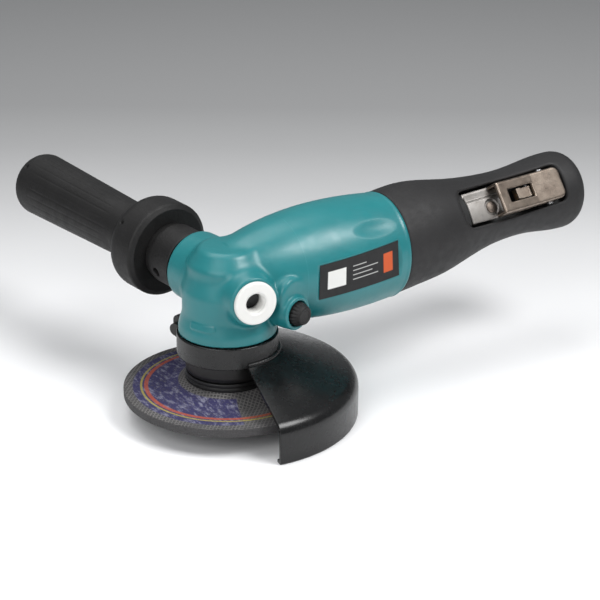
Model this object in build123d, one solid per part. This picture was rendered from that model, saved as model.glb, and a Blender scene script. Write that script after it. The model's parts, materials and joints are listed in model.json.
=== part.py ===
from build123d import *
import math
import os

# Pneumatic right-angle grinder. Millimetres, +Z up along the spindle, +X to the rear of the tool.
# The origin is on the spindle axis, in the plane of the wheel's grinding face.

# Clearances
run_gap = 0.04
seat_gap = 0.02
body_gap = 0.4

# Grinding wheel with a depressed centre
wheel_r = 57.5
wheel_thick = 4.8
wheel_centre_thick = 5.0
wheel_centre_r = 24.0
wheel_slope_r = 34.0
wheel_dish = 4.6
wheel_hole_r = 11.1
flange_r = 23.5
flange_thick = 4.6
nut_r = 19.0
nut_thick = 4.0
nut_hole_r = 2.0
nut_hole_pcr = 14.0

# Spindle and its bearings
thread_r = 7.0
shoulder_r = 10.0
lower_seat_r = 8.5
lower_bearing_r = 17.5
lower_bearing_width = 10.0
gear_seat_r = 7.5
upper_seat_r = 5.0
upper_bearing_r = 9.5
upper_bearing_width = 5.0
seal_r = 14.0
seal_width = 4.0
bearing_shelf = 1.5
seal_shelf = 1.0
neck_step = 1.0

# Bearing cap and guard band
cap_top = 37.5
cap_inset = 0.5
cap_lip_step = 2.2
cap_step = 24.0
cap_spigot = 6.0
band_wall = 2.0
band_bottom = 24.6
band_top = 36.9
ear_angle = 111.0
ear_reach = 7.0
ear_top = 38.4
ear_thick = 3.0
ear_split = 2.4
clamp_screw_r = 2.0
clamp_head_r = 3.6
clamp_head = 3.0
clamp_height = 31.0

# Wheel guard
guard_r = 72.0
guard_wall = 2.0
guard_bottom = -11.8
guard_corner = 9.6
guard_shoulder_r = 8.0
guard_lip = 4.5
guard_front = -99.0
guard_sweep = 180.0
guard_plate_top = 26.6

# Gear head
head_side_wall = 3.7
gear_side_gap = 0.84
head_foot = 0.8
head_foot_top = 41.5
head_waist_in = 1.4
head_waist_low = 49.0
head_waist = 62.0
head_neck_r = 21.5
head_neck = 72.0
head_crown = 77.0
head_top_r = 15.0
head_top = 86.0
head_edge_r = 2.5
head_wall = 3.6
head_rear = 34.0
head_rear_r = 29.4
head_front_r = 20.5
boss_x = 3.0
boss_z = 62.8
boss_splay = 8.0
handle_rise = 3.1
socket_rise = 1.0
right_boss_r = 19.6
right_boss_root_r = 21.0
right_boss_reach = 33.0
left_boss_r = 13.4
left_boss_root_r = 20.5
left_boss_reach = 30.0
boss_edge_r = 1.2

# Handle inserts, stud and side handle
insert_r = 12.3
insert_flange = 2.4
insert_sleeve_r = 9.0
insert_depth = 7.0
insert_edge_r = 0.8
socket_r = 5.1
stud_length = 70.0
collar_r = 17.4
collar_end = 56.0
collar_waist_r = 16.4
collar_waist = 4.0
spanner_hole_r = 2.6
spanner_hole_depth = 7.0
spanner_hole_at = 46.0
spanner_hole_turn = 252.0
disc_r = 27.3
disc_thick = 24.0
disc_round_r = 9.0
grip_root_r = 16.4
grip_end_r = 19.3
handle_end = 189.0
handle_end_round_r = 9.0

# Bevel gear pair
motor_z = 66.0
pinion_teeth = 10
gear_teeth = 25
gear_pitch_r = 21.0
tooth_face = 7.0
tooth_rise = 1.25
tooth_root = 1.9
tooth_share = 0.4
tooth_flank = 22.0
tooth_sink = 0.4
gear_hub_r = 13.0
gear_hub_bottom = 38.2
gear_rim = 5.2
gear_web = 4.0
key_width = 3.0
key_height = 5.0
key_length = 12.0
pinion_end_gap = 0.8
pinion_bore_room = 1.0
gear_head_room = 1.0

# Spindle lock
button_yaw = 15.0
button_x = 24.2
button_y = -33.0
button_z = 52.4
button_r = 6.6
button_thick = 6.0
button_ribs = 18
button_rib_r = 0.7
button_stroke = 4.0
button_boss_r = 9.4
flank_lift = 10.0
flank_step = 3.0
button_recess = 2.0
lock_pin_r = 2.0
lock_pin_gap = 0.8
lock_slots = 4
lock_collar_r = 3.4
lock_collar = 1.5
lock_spring_wall = 0.8

# Motor
motor_bore_r = 25.0
end_plate = 12.0
cylinder_end = 88.0
cylinder_bore_r = 20.4
cylinder_offset = 3.0
rotor_r = 17.2
rotor_end_gap = 0.3
rotor_shaft_r = 4.0
rotor_bearing_r = 11.0
rotor_bearing_width = 7.0
vane_count = 4
vane_thick = 2.0
vane_height = 8.0
shaft_hole_room = 1.5
housing_end = 101.7
housing_front_r = 29.4
housing_mid_x = 46.0
housing_mid_r = 31.0
housing_belly_x = 74.0
housing_belly_r = 32.0
housing_end_r = 30.0
scallop_x = 82.0
scallop_length = 34.0
scallop_r = 9.0
scallop_depth = 1.3
scallop_roll = 45.0

# Rear grip: place along X, rise of the centre above the motor axis, radius
grip_stations = (
    (housing_end, 0.4, 30.0),
    (121.0, 2.9, 29.7),
    (136.0, 3.4, 27.9),
    (150.0, 4.3, 25.1),
    (173.0, 6.6, 21.3),
    (187.0, 7.6, 20.4),
    (203.0, 8.7, 21.0),
    (221.0, 9.2, 23.0),
    (239.5, 9.5, 23.2),
)
grip_wall = 4.0
grip_end_round_r = 9.0
core_end_wall = 5.0

# Lever slot, in the slot's own frame: u along the grip, v across it, w outwards
slot_x = 190.0
slot_rise = 7.8
slot_slope = 3.5
slot_roll = 56.0
slot_front = -38.7
slot_rear = 32.2
slot_half = 11.2
slot_floor = 8.0
slot_rear_floor = 12.5
slot_step = 15.0
slot_out = 40.0
pivot_u = 21.0
pivot_w = 17.0
pivot_r = 2.0
pivot_half = 10.8
pivot_block = 4.2
pivot_block_top = 19.4
pivot_block_sink = 1.0
lever_front = -17.0
lever_rear = 30.0
lever_half = 9.5
lever_wall = 1.6
lever_top = 23.5
lever_skin = 2.0
lever_bottom = 14.0
lever_edge_r = 1.0
lever_nose_r = 4.0
window_front = -11.5
window_rear = 8.0
window_half = 4.0
pad_front = -37.5
pad_half = 9.8
pad_top = 18.5
pad_thick = 2.5
pad_groove_v = 3.6
pad_groove = 1.0
tongue_rear = -7.0
latch_u = 8.0
latch_w = 17.5
latch_pin_r = 1.5
latch_half = 3.0
latch_top = 23.3
latch_boss_r = 3.2
latch_tab_front = -4.0
latch_tab_rear = -1.0
latch_arm = 20.4
latch_leg_front = 1.5
latch_leg_rear = 4.5
latch_leg_bottom = 12.6

# Valve under the lever
valve_u = -11.0
stem_r = 2.5
stem_gap = 0.1
stem_bottom = -6.0
stem_head_r = 4.6
stem_head = 3.0
seat_r = 6.5
seat_bottom = -2.0
seat_top = 3.0
spring_r = 4.4
spring_wall = 1.0
spring_bottom = -12.0
cap_bottom = -15.0

# Air inlet
inlet_r = 7.35
inlet_bush_r = 10.4
inlet_bush_length = 22.0
inlet_flange_r = 12.0
inlet_flange = 2.0
screen_thick = 1.2
screen_holes = 8
screen_hole_r = 1.1
screen_pcr = 4.6
muffler_r = 19.0
muffler_wall = 4.0
muffler_length = 24.0

os.makedirs("parts", exist_ok=True)
parts = {}


def turned(points):
    # Solid of revolution about Z from a closed outline of (radius, height) points.
    outline = Polyline([(r, 0, z) for r, z in points], close=True)
    return revolve(make_face(outline), Axis.Z)


def tube(r_in, r_out, low, high):
    # Plain ring about Z between two heights.
    return turned([(r_in, low), (r_out, low), (r_out, high), (r_in, high)])


def rod(r, low, high):
    # Plain cylinder about Z between two heights.
    return Pos(0, 0, low) * Cylinder(r, high - low, align=(Align.CENTER, Align.CENTER, Align.MIN))


def block(u0, u1, v0, v1, w0, w1):
    # Box between two corners.
    size = (u1 - u0, v1 - v0, w1 - w0)
    return Pos((u0 + u1) / 2, (v0 + v1) / 2, (w0 + w1) / 2) * Box(*size)


def edges_at(solid, height, radius):
    # Circular edges of a given radius at a height along Z.
    found = solid.edges().filter_by(GeomType.CIRCLE)
    near = 0.01
    return [e for e in found if abs(e.radius - radius) < near and abs(e.arc_center.Z - height) < near]


def bearing(r_in, r_out, low, width):
    # Ball bearing: two races standing proud of the shield between them.
    third = (r_out - r_in) / 3
    dip = width / 10
    high = low + width
    points = [(r_in, low), (r_in + third, low), (r_in + third, low + dip), (r_out - third, low + dip)]
    points += [(r_out - third, low), (r_out, low), (r_out, high), (r_out - third, high)]
    points += [(r_out - third, high - dip), (r_in + third, high - dip), (r_in + third, high), (r_in, high)]
    return turned(points)


def direction(yaw, rise, side):
    # Unit vector across the tool, splayed forwards by yaw and lifted by rise.
    flat = math.cos(math.radians(rise))
    forward = -math.sin(math.radians(yaw)) * flat
    return (forward, side * math.cos(math.radians(yaw)) * flat, math.sin(math.radians(rise)))


# Working frames
motor_plane = Plane((0, 0, motor_z), x_dir=(0, -1, 0), z_dir=(1, 0, 0))
handle_plane = Plane((boss_x, 0, boss_z), x_dir=(0, 0, 1), z_dir=direction(boss_splay, handle_rise, 1))
socket_plane = Plane((boss_x, 0, boss_z), x_dir=(0, 0, 1), z_dir=direction(boss_splay, socket_rise, -1))
button_out = (math.sin(math.radians(button_yaw)), -math.cos(math.radians(button_yaw)), 0)
button_plane = Plane((button_x, button_y, button_z), x_dir=(0, 0, 1), z_dir=button_out)
slope = math.radians(slot_slope)
roll = math.radians(slot_roll)
slot_normal = (-math.sin(slope) * math.cos(roll), -math.sin(roll), math.cos(slope) * math.cos(roll))
slot_along = (math.cos(slope), 0, math.sin(slope))
slot_plane = Plane((slot_x, 0, motor_z + slot_rise), x_dir=slot_along, z_dir=slot_normal)
inlet_x = grip_stations[-1][0]
inlet_plane = Plane((inlet_x, 0, motor_z + grip_stations[-1][1]), x_dir=(0, -1, 0), z_dir=(1, 0, 0))

# Heights on the spindle
wheel_seat = wheel_dish + wheel_centre_thick
flange_top = wheel_seat + flange_thick
cap_bottom_z = flange_top + body_gap
bearing_low = cap_top - lower_bearing_width - bearing_shelf
seal_low = bearing_low - seal_width - seal_shelf
upper_low = head_top - head_wall - upper_bearing_width
nut_top = wheel_dish
nut_low = nut_top - nut_thick
neck_r = upper_seat_r + neck_step
gear_apex = motor_z
pinion_back = head_rear - pinion_end_gap
gear_angle = math.atan2(gear_teeth, pinion_teeth)
cone_out = gear_pitch_r / math.sin(gear_angle)
cone_in = cone_out - tooth_face
gear_tip_r = gear_pitch_r + tooth_rise * math.cos(gear_angle)

# Radii that follow the gear
cap_spigot_r = gear_tip_r + gear_side_gap
head_r = cap_spigot_r + head_side_wall
cap_r = head_r - cap_inset
cap_lip_r = cap_r - cap_lip_step


def wheel():
    # Flat grinding rim with a raised centre that clears the nut.
    centre_top = wheel_seat
    points = [(wheel_hole_r, wheel_dish), (wheel_centre_r, wheel_dish), (wheel_slope_r, 0), (wheel_r, 0)]
    points += [(wheel_r, wheel_thick), (wheel_slope_r, wheel_thick), (wheel_centre_r, centre_top)]
    points += [(wheel_hole_r, centre_top)]
    return turned(points)


def inner_flange():
    # Black flange above the wheel, with a pilot that centres the wheel.
    pilot = wheel_hole_r - seat_gap
    points = [(thread_r, nut_top), (pilot, nut_top), (pilot, wheel_seat), (flange_r, wheel_seat)]
    points += [(flange_r, flange_top), (thread_r, flange_top)]
    return turned(points)


def wheel_nut():
    # Round flange nut with two spanner holes.
    nut = tube(thread_r, nut_r, nut_low, nut_top)
    for spot in PolarLocations(nut_hole_pcr, 2):
        nut -= spot * rod(nut_hole_r, nut_low, nut_top)
    return nut


def spindle():
    # Stepped shaft from the wheel thread up to the upper bearing.
    gear_top = gear_blank_top()
    points = [(0, nut_low), (thread_r, nut_low), (thread_r, flange_top), (shoulder_r, flange_top)]
    points += [(shoulder_r, bearing_low), (lower_seat_r - run_gap, bearing_low)]
    points += [(lower_seat_r - run_gap, gear_hub_bottom), (gear_seat_r, gear_hub_bottom)]
    points += [(gear_seat_r, gear_top), (neck_r, gear_top), (neck_r, upper_low - body_gap)]
    points += [(upper_seat_r - run_gap, upper_low - body_gap)]
    points += [(upper_seat_r - run_gap, upper_low + upper_bearing_width), (0, upper_low + upper_bearing_width)]
    return turned(points) - gear_key_block()


def gear_blank_top():
    # Height of the gear's inner end face.
    return gear_apex - cone_in * math.cos(gear_angle) - tooth_root * cone_in / cone_out * math.sin(gear_angle)


def gear_key_block():
    # Square key half in the spindle and half in the gear.
    low = gear_hub_bottom
    half = key_width / 2
    return block(gear_seat_r - key_height / 2, gear_seat_r + key_height / 2, -half, half, low, low + key_length)


def cone_point(distance, lift, angle):
    # Point in the axial plane: along the pitch cone by distance, off it by lift.
    along = distance * math.sin(angle) + lift * math.cos(angle)
    back = distance * math.cos(angle) - lift * math.sin(angle)
    return along, back


def bevel_tooth(angle, pitch):
    # One straight tooth about Z with the cone apex at the origin, tapering towards the apex.
    sections = []
    for distance in (cone_out, cone_in):
        scale = distance / cone_out
        mid = pitch * tooth_share / 2
        slant = math.tan(math.radians(tooth_flank))
        corners = []
        foot = -tooth_root - tooth_sink
        for lift, side in ((foot, -1), (tooth_rise, -1), (tooth_rise, 1), (foot, 1)):
            r, back = cone_point(distance, lift * scale, angle)
            corners.append((r, side * (mid - lift * slant) * scale, -back))
        sections.append(make_face(Polyline(corners, close=True)))
    return loft(sections, ruled=True)


def bevel_wheel(teeth, angle, blank, turn):
    # A blank about Z with its ring of teeth fused on.
    pitch = 2 * math.pi * cone_out * math.sin(angle) / teeth
    tooth = bevel_tooth(angle, pitch)
    ring = [Rot(0, 0, turn + i * 360 / teeth) * tooth for i in range(teeth)]
    return blank.fuse(*ring)


def bevel_gear():
    # Large gear on the spindle, with slots in its rim for the lock pin.
    root_out = cone_point(cone_out, -tooth_root, gear_angle)
    root_in = cone_point(cone_in, -tooth_root * cone_in / cone_out, gear_angle)
    rim_low = -root_out[1] - gear_rim
    hub_low = gear_hub_bottom - gear_apex
    web = rim_low - gear_web / 4
    points = [(gear_seat_r, hub_low), (gear_hub_r, hub_low), (gear_hub_r, web), (root_out[0], rim_low)]
    points += [(root_out[0], -root_out[1]), (root_in[0], -root_in[1]), (gear_seat_r, -root_in[1])]
    gear = Pos(0, 0, gear_apex) * bevel_wheel(gear_teeth, gear_angle, turned(points), 0)
    gear -= gear_key_block()
    slot_r = lock_pin_r + body_gap
    slot = button_plane * rod(slot_r, -lock_reach() - button_stroke - body_gap, 0)
    for i in range(lock_slots):
        gear -= Rot(0, 0, i * 360 / lock_slots) * slot
    return gear


def bevel_pinion():
    # Small gear on the rotor shaft.
    angle = math.pi / 2 - gear_angle
    root_out = cone_point(cone_out, -tooth_root, angle)
    root_in = cone_point(cone_in, -tooth_root * cone_in / cone_out, angle)
    points = [(rotor_shaft_r, -root_in[1]), (root_in[0], -root_in[1]), (root_out[0], -root_out[1])]
    points += [(root_out[0], -pinion_back), (rotor_shaft_r, -pinion_back)]
    pinion = bevel_wheel(pinion_teeth, angle, turned(points), 180 / pinion_teeth)
    return Plane((0, 0, motor_z), x_dir=(0, 0, -1), z_dir=(-1, 0, 0)) * pinion


def lock_reach():
    # Length of the lock pin from the button's back face to just short of the gear's rim.
    rim_r = cone_point(cone_out, -tooth_root, gear_angle)[0] + lock_pin_gap
    along = button_x * button_out[0] + button_y * button_out[1]
    miss = math.sqrt(button_x ** 2 + button_y ** 2 - along ** 2)
    return along - math.sqrt(rim_r ** 2 - (miss - lock_pin_r) ** 2)


def gear_head():
    # Turned head with a rear flange, two splayed handle bosses and the button's boss.
    foot_r = head_r + head_foot
    waist_r = head_r - head_waist_in
    points = [(0, cap_top), (foot_r, cap_top), (foot_r, head_foot_top), (waist_r, head_waist_low)]
    points += [(waist_r, head_waist), (head_neck_r, head_neck), (head_neck_r, head_crown)]
    points += [(head_top_r, head_top), (0, head_top)]
    head = turned(points)
    head = fillet(edges_at(head, head_top, head_top_r) + edges_at(head, head_crown, head_neck_r), head_edge_r)
    rear = motor_plane * turned([(0, 0), (head_front_r, 0), (head_rear_r, head_rear), (0, head_rear)])
    right = turned([(0, 0), (right_boss_root_r, 0), (right_boss_r, right_boss_reach), (0, right_boss_reach)])
    right = fillet(edges_at(right, right_boss_reach, right_boss_r), boss_edge_r)
    left = turned([(0, 0), (left_boss_root_r, 0), (left_boss_r, left_boss_reach), (0, left_boss_reach)])
    lock_boss = button_plane * rod(button_boss_r, -lock_reach(), 0)
    flank = button_plane * (Pos(flank_lift, 0, 0) * rod(button_boss_r, -lock_reach(), -flank_step))
    flank += button_plane * block(0, flank_lift, -button_boss_r, button_boss_r, -lock_reach(), -flank_step)
    head = head + rear + handle_plane * right + socket_plane * left + lock_boss + flank
    gear_room = rod(cap_spigot_r, cap_top, gear_blank_top() + tooth_rise + tooth_root + gear_head_room)
    spindle_room = rod(upper_bearing_r - neck_step, cap_top, upper_low)
    bearing_room = rod(upper_bearing_r, upper_low, upper_low + upper_bearing_width)
    pinion_tip = cone_point(cone_out, tooth_rise, math.pi / 2 - gear_angle)[0]
    pinion_room = motor_plane * rod(pinion_tip + pinion_bore_room, 0, head_rear)
    head = head - gear_room - spindle_room - bearing_room - pinion_room
    head -= handle_plane * rod(insert_sleeve_r, right_boss_reach - insert_depth, right_boss_reach)
    head -= socket_plane * rod(insert_sleeve_r, left_boss_reach - insert_depth, left_boss_reach)
    head -= button_plane * rod(button_r + button_rib_r + body_gap, -button_stroke - button_recess, 0)
    head -= button_plane * rod(lock_pin_r + run_gap, -lock_reach() - button_stroke, 0)
    spring_low = -button_stroke - button_recess - lock_collar - button_stroke
    head -= button_plane * rod(lock_collar_r + lock_spring_wall, spring_low, 0)
    return head


def bearing_cap():
    # Black cap under the head: spigot, band seat and a smaller lip.
    bore = lower_bearing_r
    points = [(shoulder_r + body_gap, cap_bottom_z), (cap_lip_r, cap_bottom_z), (cap_lip_r, cap_step)]
    points += [(cap_r, cap_step), (cap_r, cap_top), (cap_spigot_r, cap_top), (cap_spigot_r, cap_top + cap_spigot)]
    points += [(bore, cap_top + cap_spigot), (bore, bearing_low), (seal_r, bearing_low), (seal_r, seal_low)]
    points += [(shoulder_r + body_gap, seal_low)]
    return turned(points)


def handle_insert(plane, reach, bore):
    # White threaded insert: a flange on the boss and a sleeve inside it.
    low = reach - insert_depth
    points = [(bore, low), (insert_sleeve_r, low), (insert_sleeve_r, reach), (insert_r, reach)]
    points += [(insert_r, reach + insert_flange), (bore, reach + insert_flange)]
    part = turned(points)
    part = fillet(edges_at(part, reach + insert_flange, insert_r), insert_edge_r)
    return plane * part


def lock_collar_piece():
    # Black collar between the right boss and the handle, with a spanner hole in its rim.
    start = right_boss_reach + insert_flange
    points = [(socket_r, start), (collar_r, start), (collar_r, collar_end - collar_waist)]
    points += [(collar_waist_r, collar_end - collar_waist), (collar_waist_r, collar_end), (socket_r, collar_end)]
    collar = turned(points)
    hole = rod(spanner_hole_r, collar_r - spanner_hole_depth, collar_r + spanner_hole_depth)
    turn = math.radians(spanner_hole_turn)
    rim = Plane((0, 0, 0), x_dir=(0, 0, 1), z_dir=(math.cos(turn), math.sin(turn), 0))
    aimed = Pos(0, 0, spanner_hole_at) * rim * hole
    return handle_plane * (collar - aimed)


def side_handle():
    # Moulded handle: hand-stop disc, tapering grip and rounded end, hollow for the stud.
    disc_end = collar_end + disc_thick
    stud_end = right_boss_reach - insert_depth + stud_length
    points = [(socket_r, collar_end), (disc_r, collar_end), (disc_r, disc_end), (grip_root_r, disc_end)]
    points += [(grip_end_r, handle_end), (0, handle_end), (0, stud_end), (socket_r, stud_end)]
    handle = turned(points)
    handle = fillet(edges_at(handle, disc_end, disc_r), disc_round_r)
    handle = fillet(edges_at(handle, collar_end, disc_r), disc_round_r / 3)
    handle = fillet(edges_at(handle, handle_end, grip_end_r), handle_end_round_r)
    return handle_plane * handle


def guard():
    # Half-round skirt with an inward lip, a coned plate and a split clamp band.
    band_r = cap_r + body_gap
    outer_r = band_r + band_wall
    inner = guard_r - guard_wall
    low = guard_bottom
    plate = guard_plate_top - guard_wall
    corner = guard_corner - guard_wall
    points = [(guard_r - guard_lip, low), (guard_r, low), (guard_r, guard_corner)]
    points += [(outer_r - seat_gap, guard_plate_top), (outer_r - seat_gap, plate), (inner, corner)]
    points += [(inner, low + guard_wall), (guard_r - guard_lip, low + guard_wall)]
    outline = Polyline([(r, 0, z) for r, z in points], close=True)
    skirt = revolve(make_face(outline), Axis.Z, revolution_arc=guard_sweep)
    skirt = fillet(edges_at(skirt, guard_corner, guard_r), guard_shoulder_r)
    skirt = fillet(edges_at(skirt, corner, inner), guard_shoulder_r - guard_wall)
    skirt = Rot(0, 0, guard_front) * skirt
    shell = skirt + tube(band_r, outer_r, band_bottom, band_top)
    half = ear_split / 2 + ear_thick
    ear = block(outer_r - band_wall / 2, outer_r + ear_reach, -half, half, band_bottom, ear_top)
    ear -= block(0, outer_r - band_wall / 2 + body_gap, -half, half, band_top, ear_top)
    shell += Rot(0, 0, ear_angle) * ear
    gap = block(cap_r, outer_r + ear_reach, -ear_split / 2, ear_split / 2, band_bottom, ear_top)
    shell -= Rot(0, 0, ear_angle) * gap
    return shell - Rot(0, 0, ear_angle) * clamp_bolt_hole()


def clamp_line():
    # Axis of the clamp screw, across the two ears.
    place = cap_r + body_gap + band_wall + ear_reach / 2
    return Plane((place, 0, clamp_height), x_dir=(1, 0, 0), z_dir=(0, 1, 0))


def clamp_bolt_hole():
    # Clearance hole through both ears.
    half = ear_split / 2 + ear_thick
    return clamp_line() * rod(clamp_screw_r, -half, half)


def clamp_screw():
    # Socket screw across the ears.
    half = ear_split / 2 + ear_thick
    screw = rod(clamp_screw_r, -half - clamp_head, half) + rod(clamp_head_r, half, half + clamp_head)
    return Rot(0, 0, ear_angle) * (clamp_line() * screw)


def clamp_nut():
    # Hexagon nut at the other end of the clamp screw.
    half = ear_split / 2 + ear_thick
    face = RegularPolygon(clamp_head_r, 6) - Circle(clamp_screw_r)
    nut = Pos(0, 0, -half - clamp_head) * extrude(face, clamp_head)
    return Rot(0, 0, ear_angle) * (clamp_line() * nut)


def motor_housing():
    # Barrel with a swelling middle, bored for the motor, with a shallow thumb scallop.
    skin = Spline(
        (housing_front_r, 0, head_rear),
        (housing_mid_r, 0, housing_mid_x),
        (housing_belly_r, 0, housing_belly_x),
        (housing_end_r, 0, housing_end),
    )
    tail = Polyline(
        (housing_end_r, 0, housing_end),
        (motor_bore_r, 0, housing_end),
        (motor_bore_r, 0, head_rear),
        (housing_front_r, 0, head_rear),
    )
    barrel = motor_plane * revolve(make_face([skin, tail]), Axis.Z)
    away = housing_belly_r + scallop_r - scallop_depth
    lift = math.radians(scallop_roll)
    spot = (scallop_x, -away * math.cos(lift), motor_z + away * math.sin(lift))
    dip = rod(scallop_r, -scallop_length / 2, scallop_length / 2)
    dip = fillet(dip.edges(), scallop_r / 3)
    return barrel - Plane(spot, x_dir=(0, 0, 1), z_dir=(1, 0, 0)) * dip


def end_plate_piece(low, high, pocket_low):
    # Motor end plate with a pocket for the rotor bearing.
    plate = tube(rotor_shaft_r + shaft_hole_room, motor_bore_r - seat_gap, low, high)
    return motor_plane * (plate - rod(rotor_bearing_r, pocket_low, pocket_low + rotor_bearing_width))


def motor_cylinder():
    # Liner whose bore lies off the rotor's axis, with a row of ports.
    low = head_rear + end_plate
    liner = rod(motor_bore_r - seat_gap, low, cylinder_end)
    liner -= Pos(0, cylinder_offset, 0) * rod(cylinder_bore_r, low, cylinder_end)
    return motor_plane * liner


def rotor():
    # Slotted rotor on a stepped shaft.
    low = head_rear + end_plate + rotor_end_gap
    high = cylinder_end - rotor_end_gap
    shaft_end = cylinder_end + end_plate
    body = rod(rotor_r, low, high) + rod(rotor_shaft_r - run_gap, pinion_front(), shaft_end)
    body += rod(rotor_shaft_r, pinion_front(), pinion_back)
    for spot in PolarLocations(0, vane_count):
        body -= spot * vane_block(low, high)
    return motor_plane * body


def pinion_front():
    # Place of the pinion's inner end along the motor axis.
    angle = math.pi / 2 - gear_angle
    return cone_point(cone_in, -tooth_root * cone_in / cone_out, angle)[1]


def vane_block(low, high):
    # Flat vane, drawn in flush with the rotor.
    half = vane_thick / 2
    return block(rotor_r - vane_height, rotor_r, -half, half, low, high) & rod(rotor_r, low, high)


def grip_solid(inset, end):
    # Loft through round sections along the grip.
    rings = []
    for x, rise, r in grip_stations:
        place = min(x, end)
        rings.append(Plane((place, 0, motor_z + rise), z_dir=(1, 0, 0)) * Circle(r - inset))
    return loft(rings)


def lever_pocket():
    # Space in the grip for the lever, shallower over the air inlet.
    front = block(slot_front, slot_step, -slot_half, slot_half, slot_floor, slot_out)
    rear = block(slot_step, slot_rear, -slot_half, slot_half, slot_rear_floor, slot_out)
    pocket = front + rear
    return slot_plane * pocket


def rear_grip(core):
    # Rubber sleeve over the valve body, open at the slot and the inlet.
    grip = grip_solid(0, inlet_x)
    end_edges = grip.faces().sort_by(Axis.X)[-1].edges()
    grip = fillet(end_edges, grip_end_round_r)
    grip = grip - core - lever_pocket()
    return grip - inlet_plane * rod(inlet_flange_r, -inlet_bush_length, inlet_flange)


def core_solid():
    # Solid inside the rubber, with a spigot into the motor housing.
    core = grip_solid(grip_wall, inlet_x - core_end_wall)
    spigot = motor_plane * rod(motor_bore_r - seat_gap, cylinder_end + end_plate, housing_end)
    return core + spigot


def valve_body(core):
    # Core of the grip: lever pocket, pivot block, valve bore, inlet bore and muffler chamber.
    body = core - lever_pocket()
    low = pivot_u - pivot_block
    high = pivot_u + pivot_block
    half = lever_half - lever_wall - body_gap
    pivot = block(low, high, -half, half, slot_rear_floor - pivot_block_sink, pivot_block_top)
    body += slot_plane * pivot
    body -= slot_plane * pivot_rod(pivot_r, pivot_half)
    bore = Pos(valve_u, 0, 0) * valve_bore()
    body -= slot_plane * bore
    bush_low = -inlet_bush_length - screen_thick
    body -= inlet_plane * rod(inlet_bush_r, bush_low, inlet_flange)
    chamber = rod(muffler_r, housing_end, housing_end + muffler_length)
    return body - motor_plane * chamber


def pivot_rod(r, half):
    # Cross pin through the lever.
    line = Plane((pivot_u, 0, pivot_w), x_dir=(1, 0, 0), z_dir=(0, 1, 0))
    return line * rod(r, -half, half)


def valve_bore():
    # Stepped bore for the valve stem, seat, spring and cap.
    bore = rod(stem_r + run_gap, seat_top, slot_floor)
    return bore + rod(seat_r, cap_bottom, seat_top)


def throttle_lever():
    # Plated channel with a window, a rounded rear end and holes for its two pins.
    shell = block(lever_front, lever_rear, -lever_half, lever_half, lever_bottom, lever_top)
    rear = shell.faces().sort_by(Axis.X)[-1]
    shell = fillet(rear.edges().filter_by(Axis.Z), lever_nose_r)
    shell = fillet(shell.faces().sort_by(Axis.Z)[-1].edges(), lever_edge_r)
    inner = lever_half - lever_wall
    shell -= block(lever_front, lever_rear - lever_nose_r, -inner, inner, lever_bottom, lever_top - lever_skin)
    shell -= block(window_front, window_rear, -window_half, window_half, lever_bottom, lever_top)
    shell -= pivot_rod(pivot_r + run_gap, lever_half)
    shell -= latch_rod(latch_pin_r, lever_half)
    return slot_plane * shell


def latch_rod(r, half):
    # Cross pin of the lock-off latch.
    line = Plane((latch_u, 0, latch_w), x_dir=(1, 0, 0), z_dir=(0, 1, 0))
    return line * rod(r, -half, half)


def lever_pad():
    # Grooved front plate with a tongue held between the lever's cheeks.
    low = pad_top - pad_thick
    tongue = lever_half - lever_wall
    plate = block(pad_front, lever_front, -pad_half, pad_half, low, pad_top)
    plate = fillet(plate.faces().sort_by(Axis.X)[0].edges().filter_by(Axis.Z), lever_edge_r)
    plate += block(lever_front, tongue_rear, -tongue, tongue, low, pad_top)
    groove = block(pad_front, lever_front, pad_groove_v, pad_groove_v + pad_groove, pad_top - pad_groove, pad_top)
    return slot_plane * (plate - groove)


def lock_off_latch():
    # Small bell-crank in the lever's window: thumb tab, arm and blocking leg.
    points = [(latch_tab_front, latch_arm - latch_half / 2), (latch_tab_front, latch_top)]
    points += [(latch_tab_rear, latch_top), (latch_tab_rear, latch_arm), (latch_u, latch_arm)]
    points += [(latch_u, latch_w - latch_boss_r), (latch_leg_rear, latch_w - latch_boss_r)]
    points += [(latch_leg_rear, latch_leg_bottom), (latch_leg_front, latch_leg_bottom)]
    points += [(latch_leg_front, latch_arm - latch_half / 2)]
    outline = make_face(Polyline([(u, 0, w) for u, w in points], close=True))
    plate = extrude(outline, latch_half, both=True, dir=(0, 1, 0))
    plate += latch_rod(latch_boss_r, latch_half)
    plate -= latch_rod(latch_pin_r + run_gap, latch_half)
    return slot_plane * plate


def valve_stem():
    # Stem with a round top under the lever and a disc that closes on the seat.
    top = pad_top - pad_thick - stem_gap
    stem = rod(stem_r, stem_bottom, top - stem_r) + Pos(0, 0, top - stem_r) * Sphere(stem_r)
    stem += rod(stem_head_r, seat_bottom - stem_head, seat_bottom)
    return slot_plane * (Pos(valve_u, 0, 0) * stem)


def on_valve(solid):
    # Place a turned valve piece on the valve's axis.
    return slot_plane * (Pos(valve_u, 0, 0) * solid)


def lock_button():
    # Round button with a ribbed rim.
    button = rod(button_r, -button_recess, button_thick)
    button = fillet(edges_at(button, button_thick, button_r), button_rib_r)
    for spot in PolarLocations(button_r, button_ribs):
        button += spot * rod(button_rib_r, -button_recess, button_thick - button_rib_r)
    return button_plane * button


def lock_pin():
    # Pin from the button to the gear, with a collar for its spring.
    pin = rod(lock_pin_r, -lock_reach(), -button_recess)
    return button_plane * pin


core = core_solid()

# Spindle group
parts["spindle"] = spindle()
parts["bevel_gear"] = bevel_gear()
parts["gear_key"] = gear_key_block()
parts["inner_flange"] = inner_flange()
parts["grinding_wheel"] = wheel()
parts["wheel_nut"] = wheel_nut()

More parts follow.
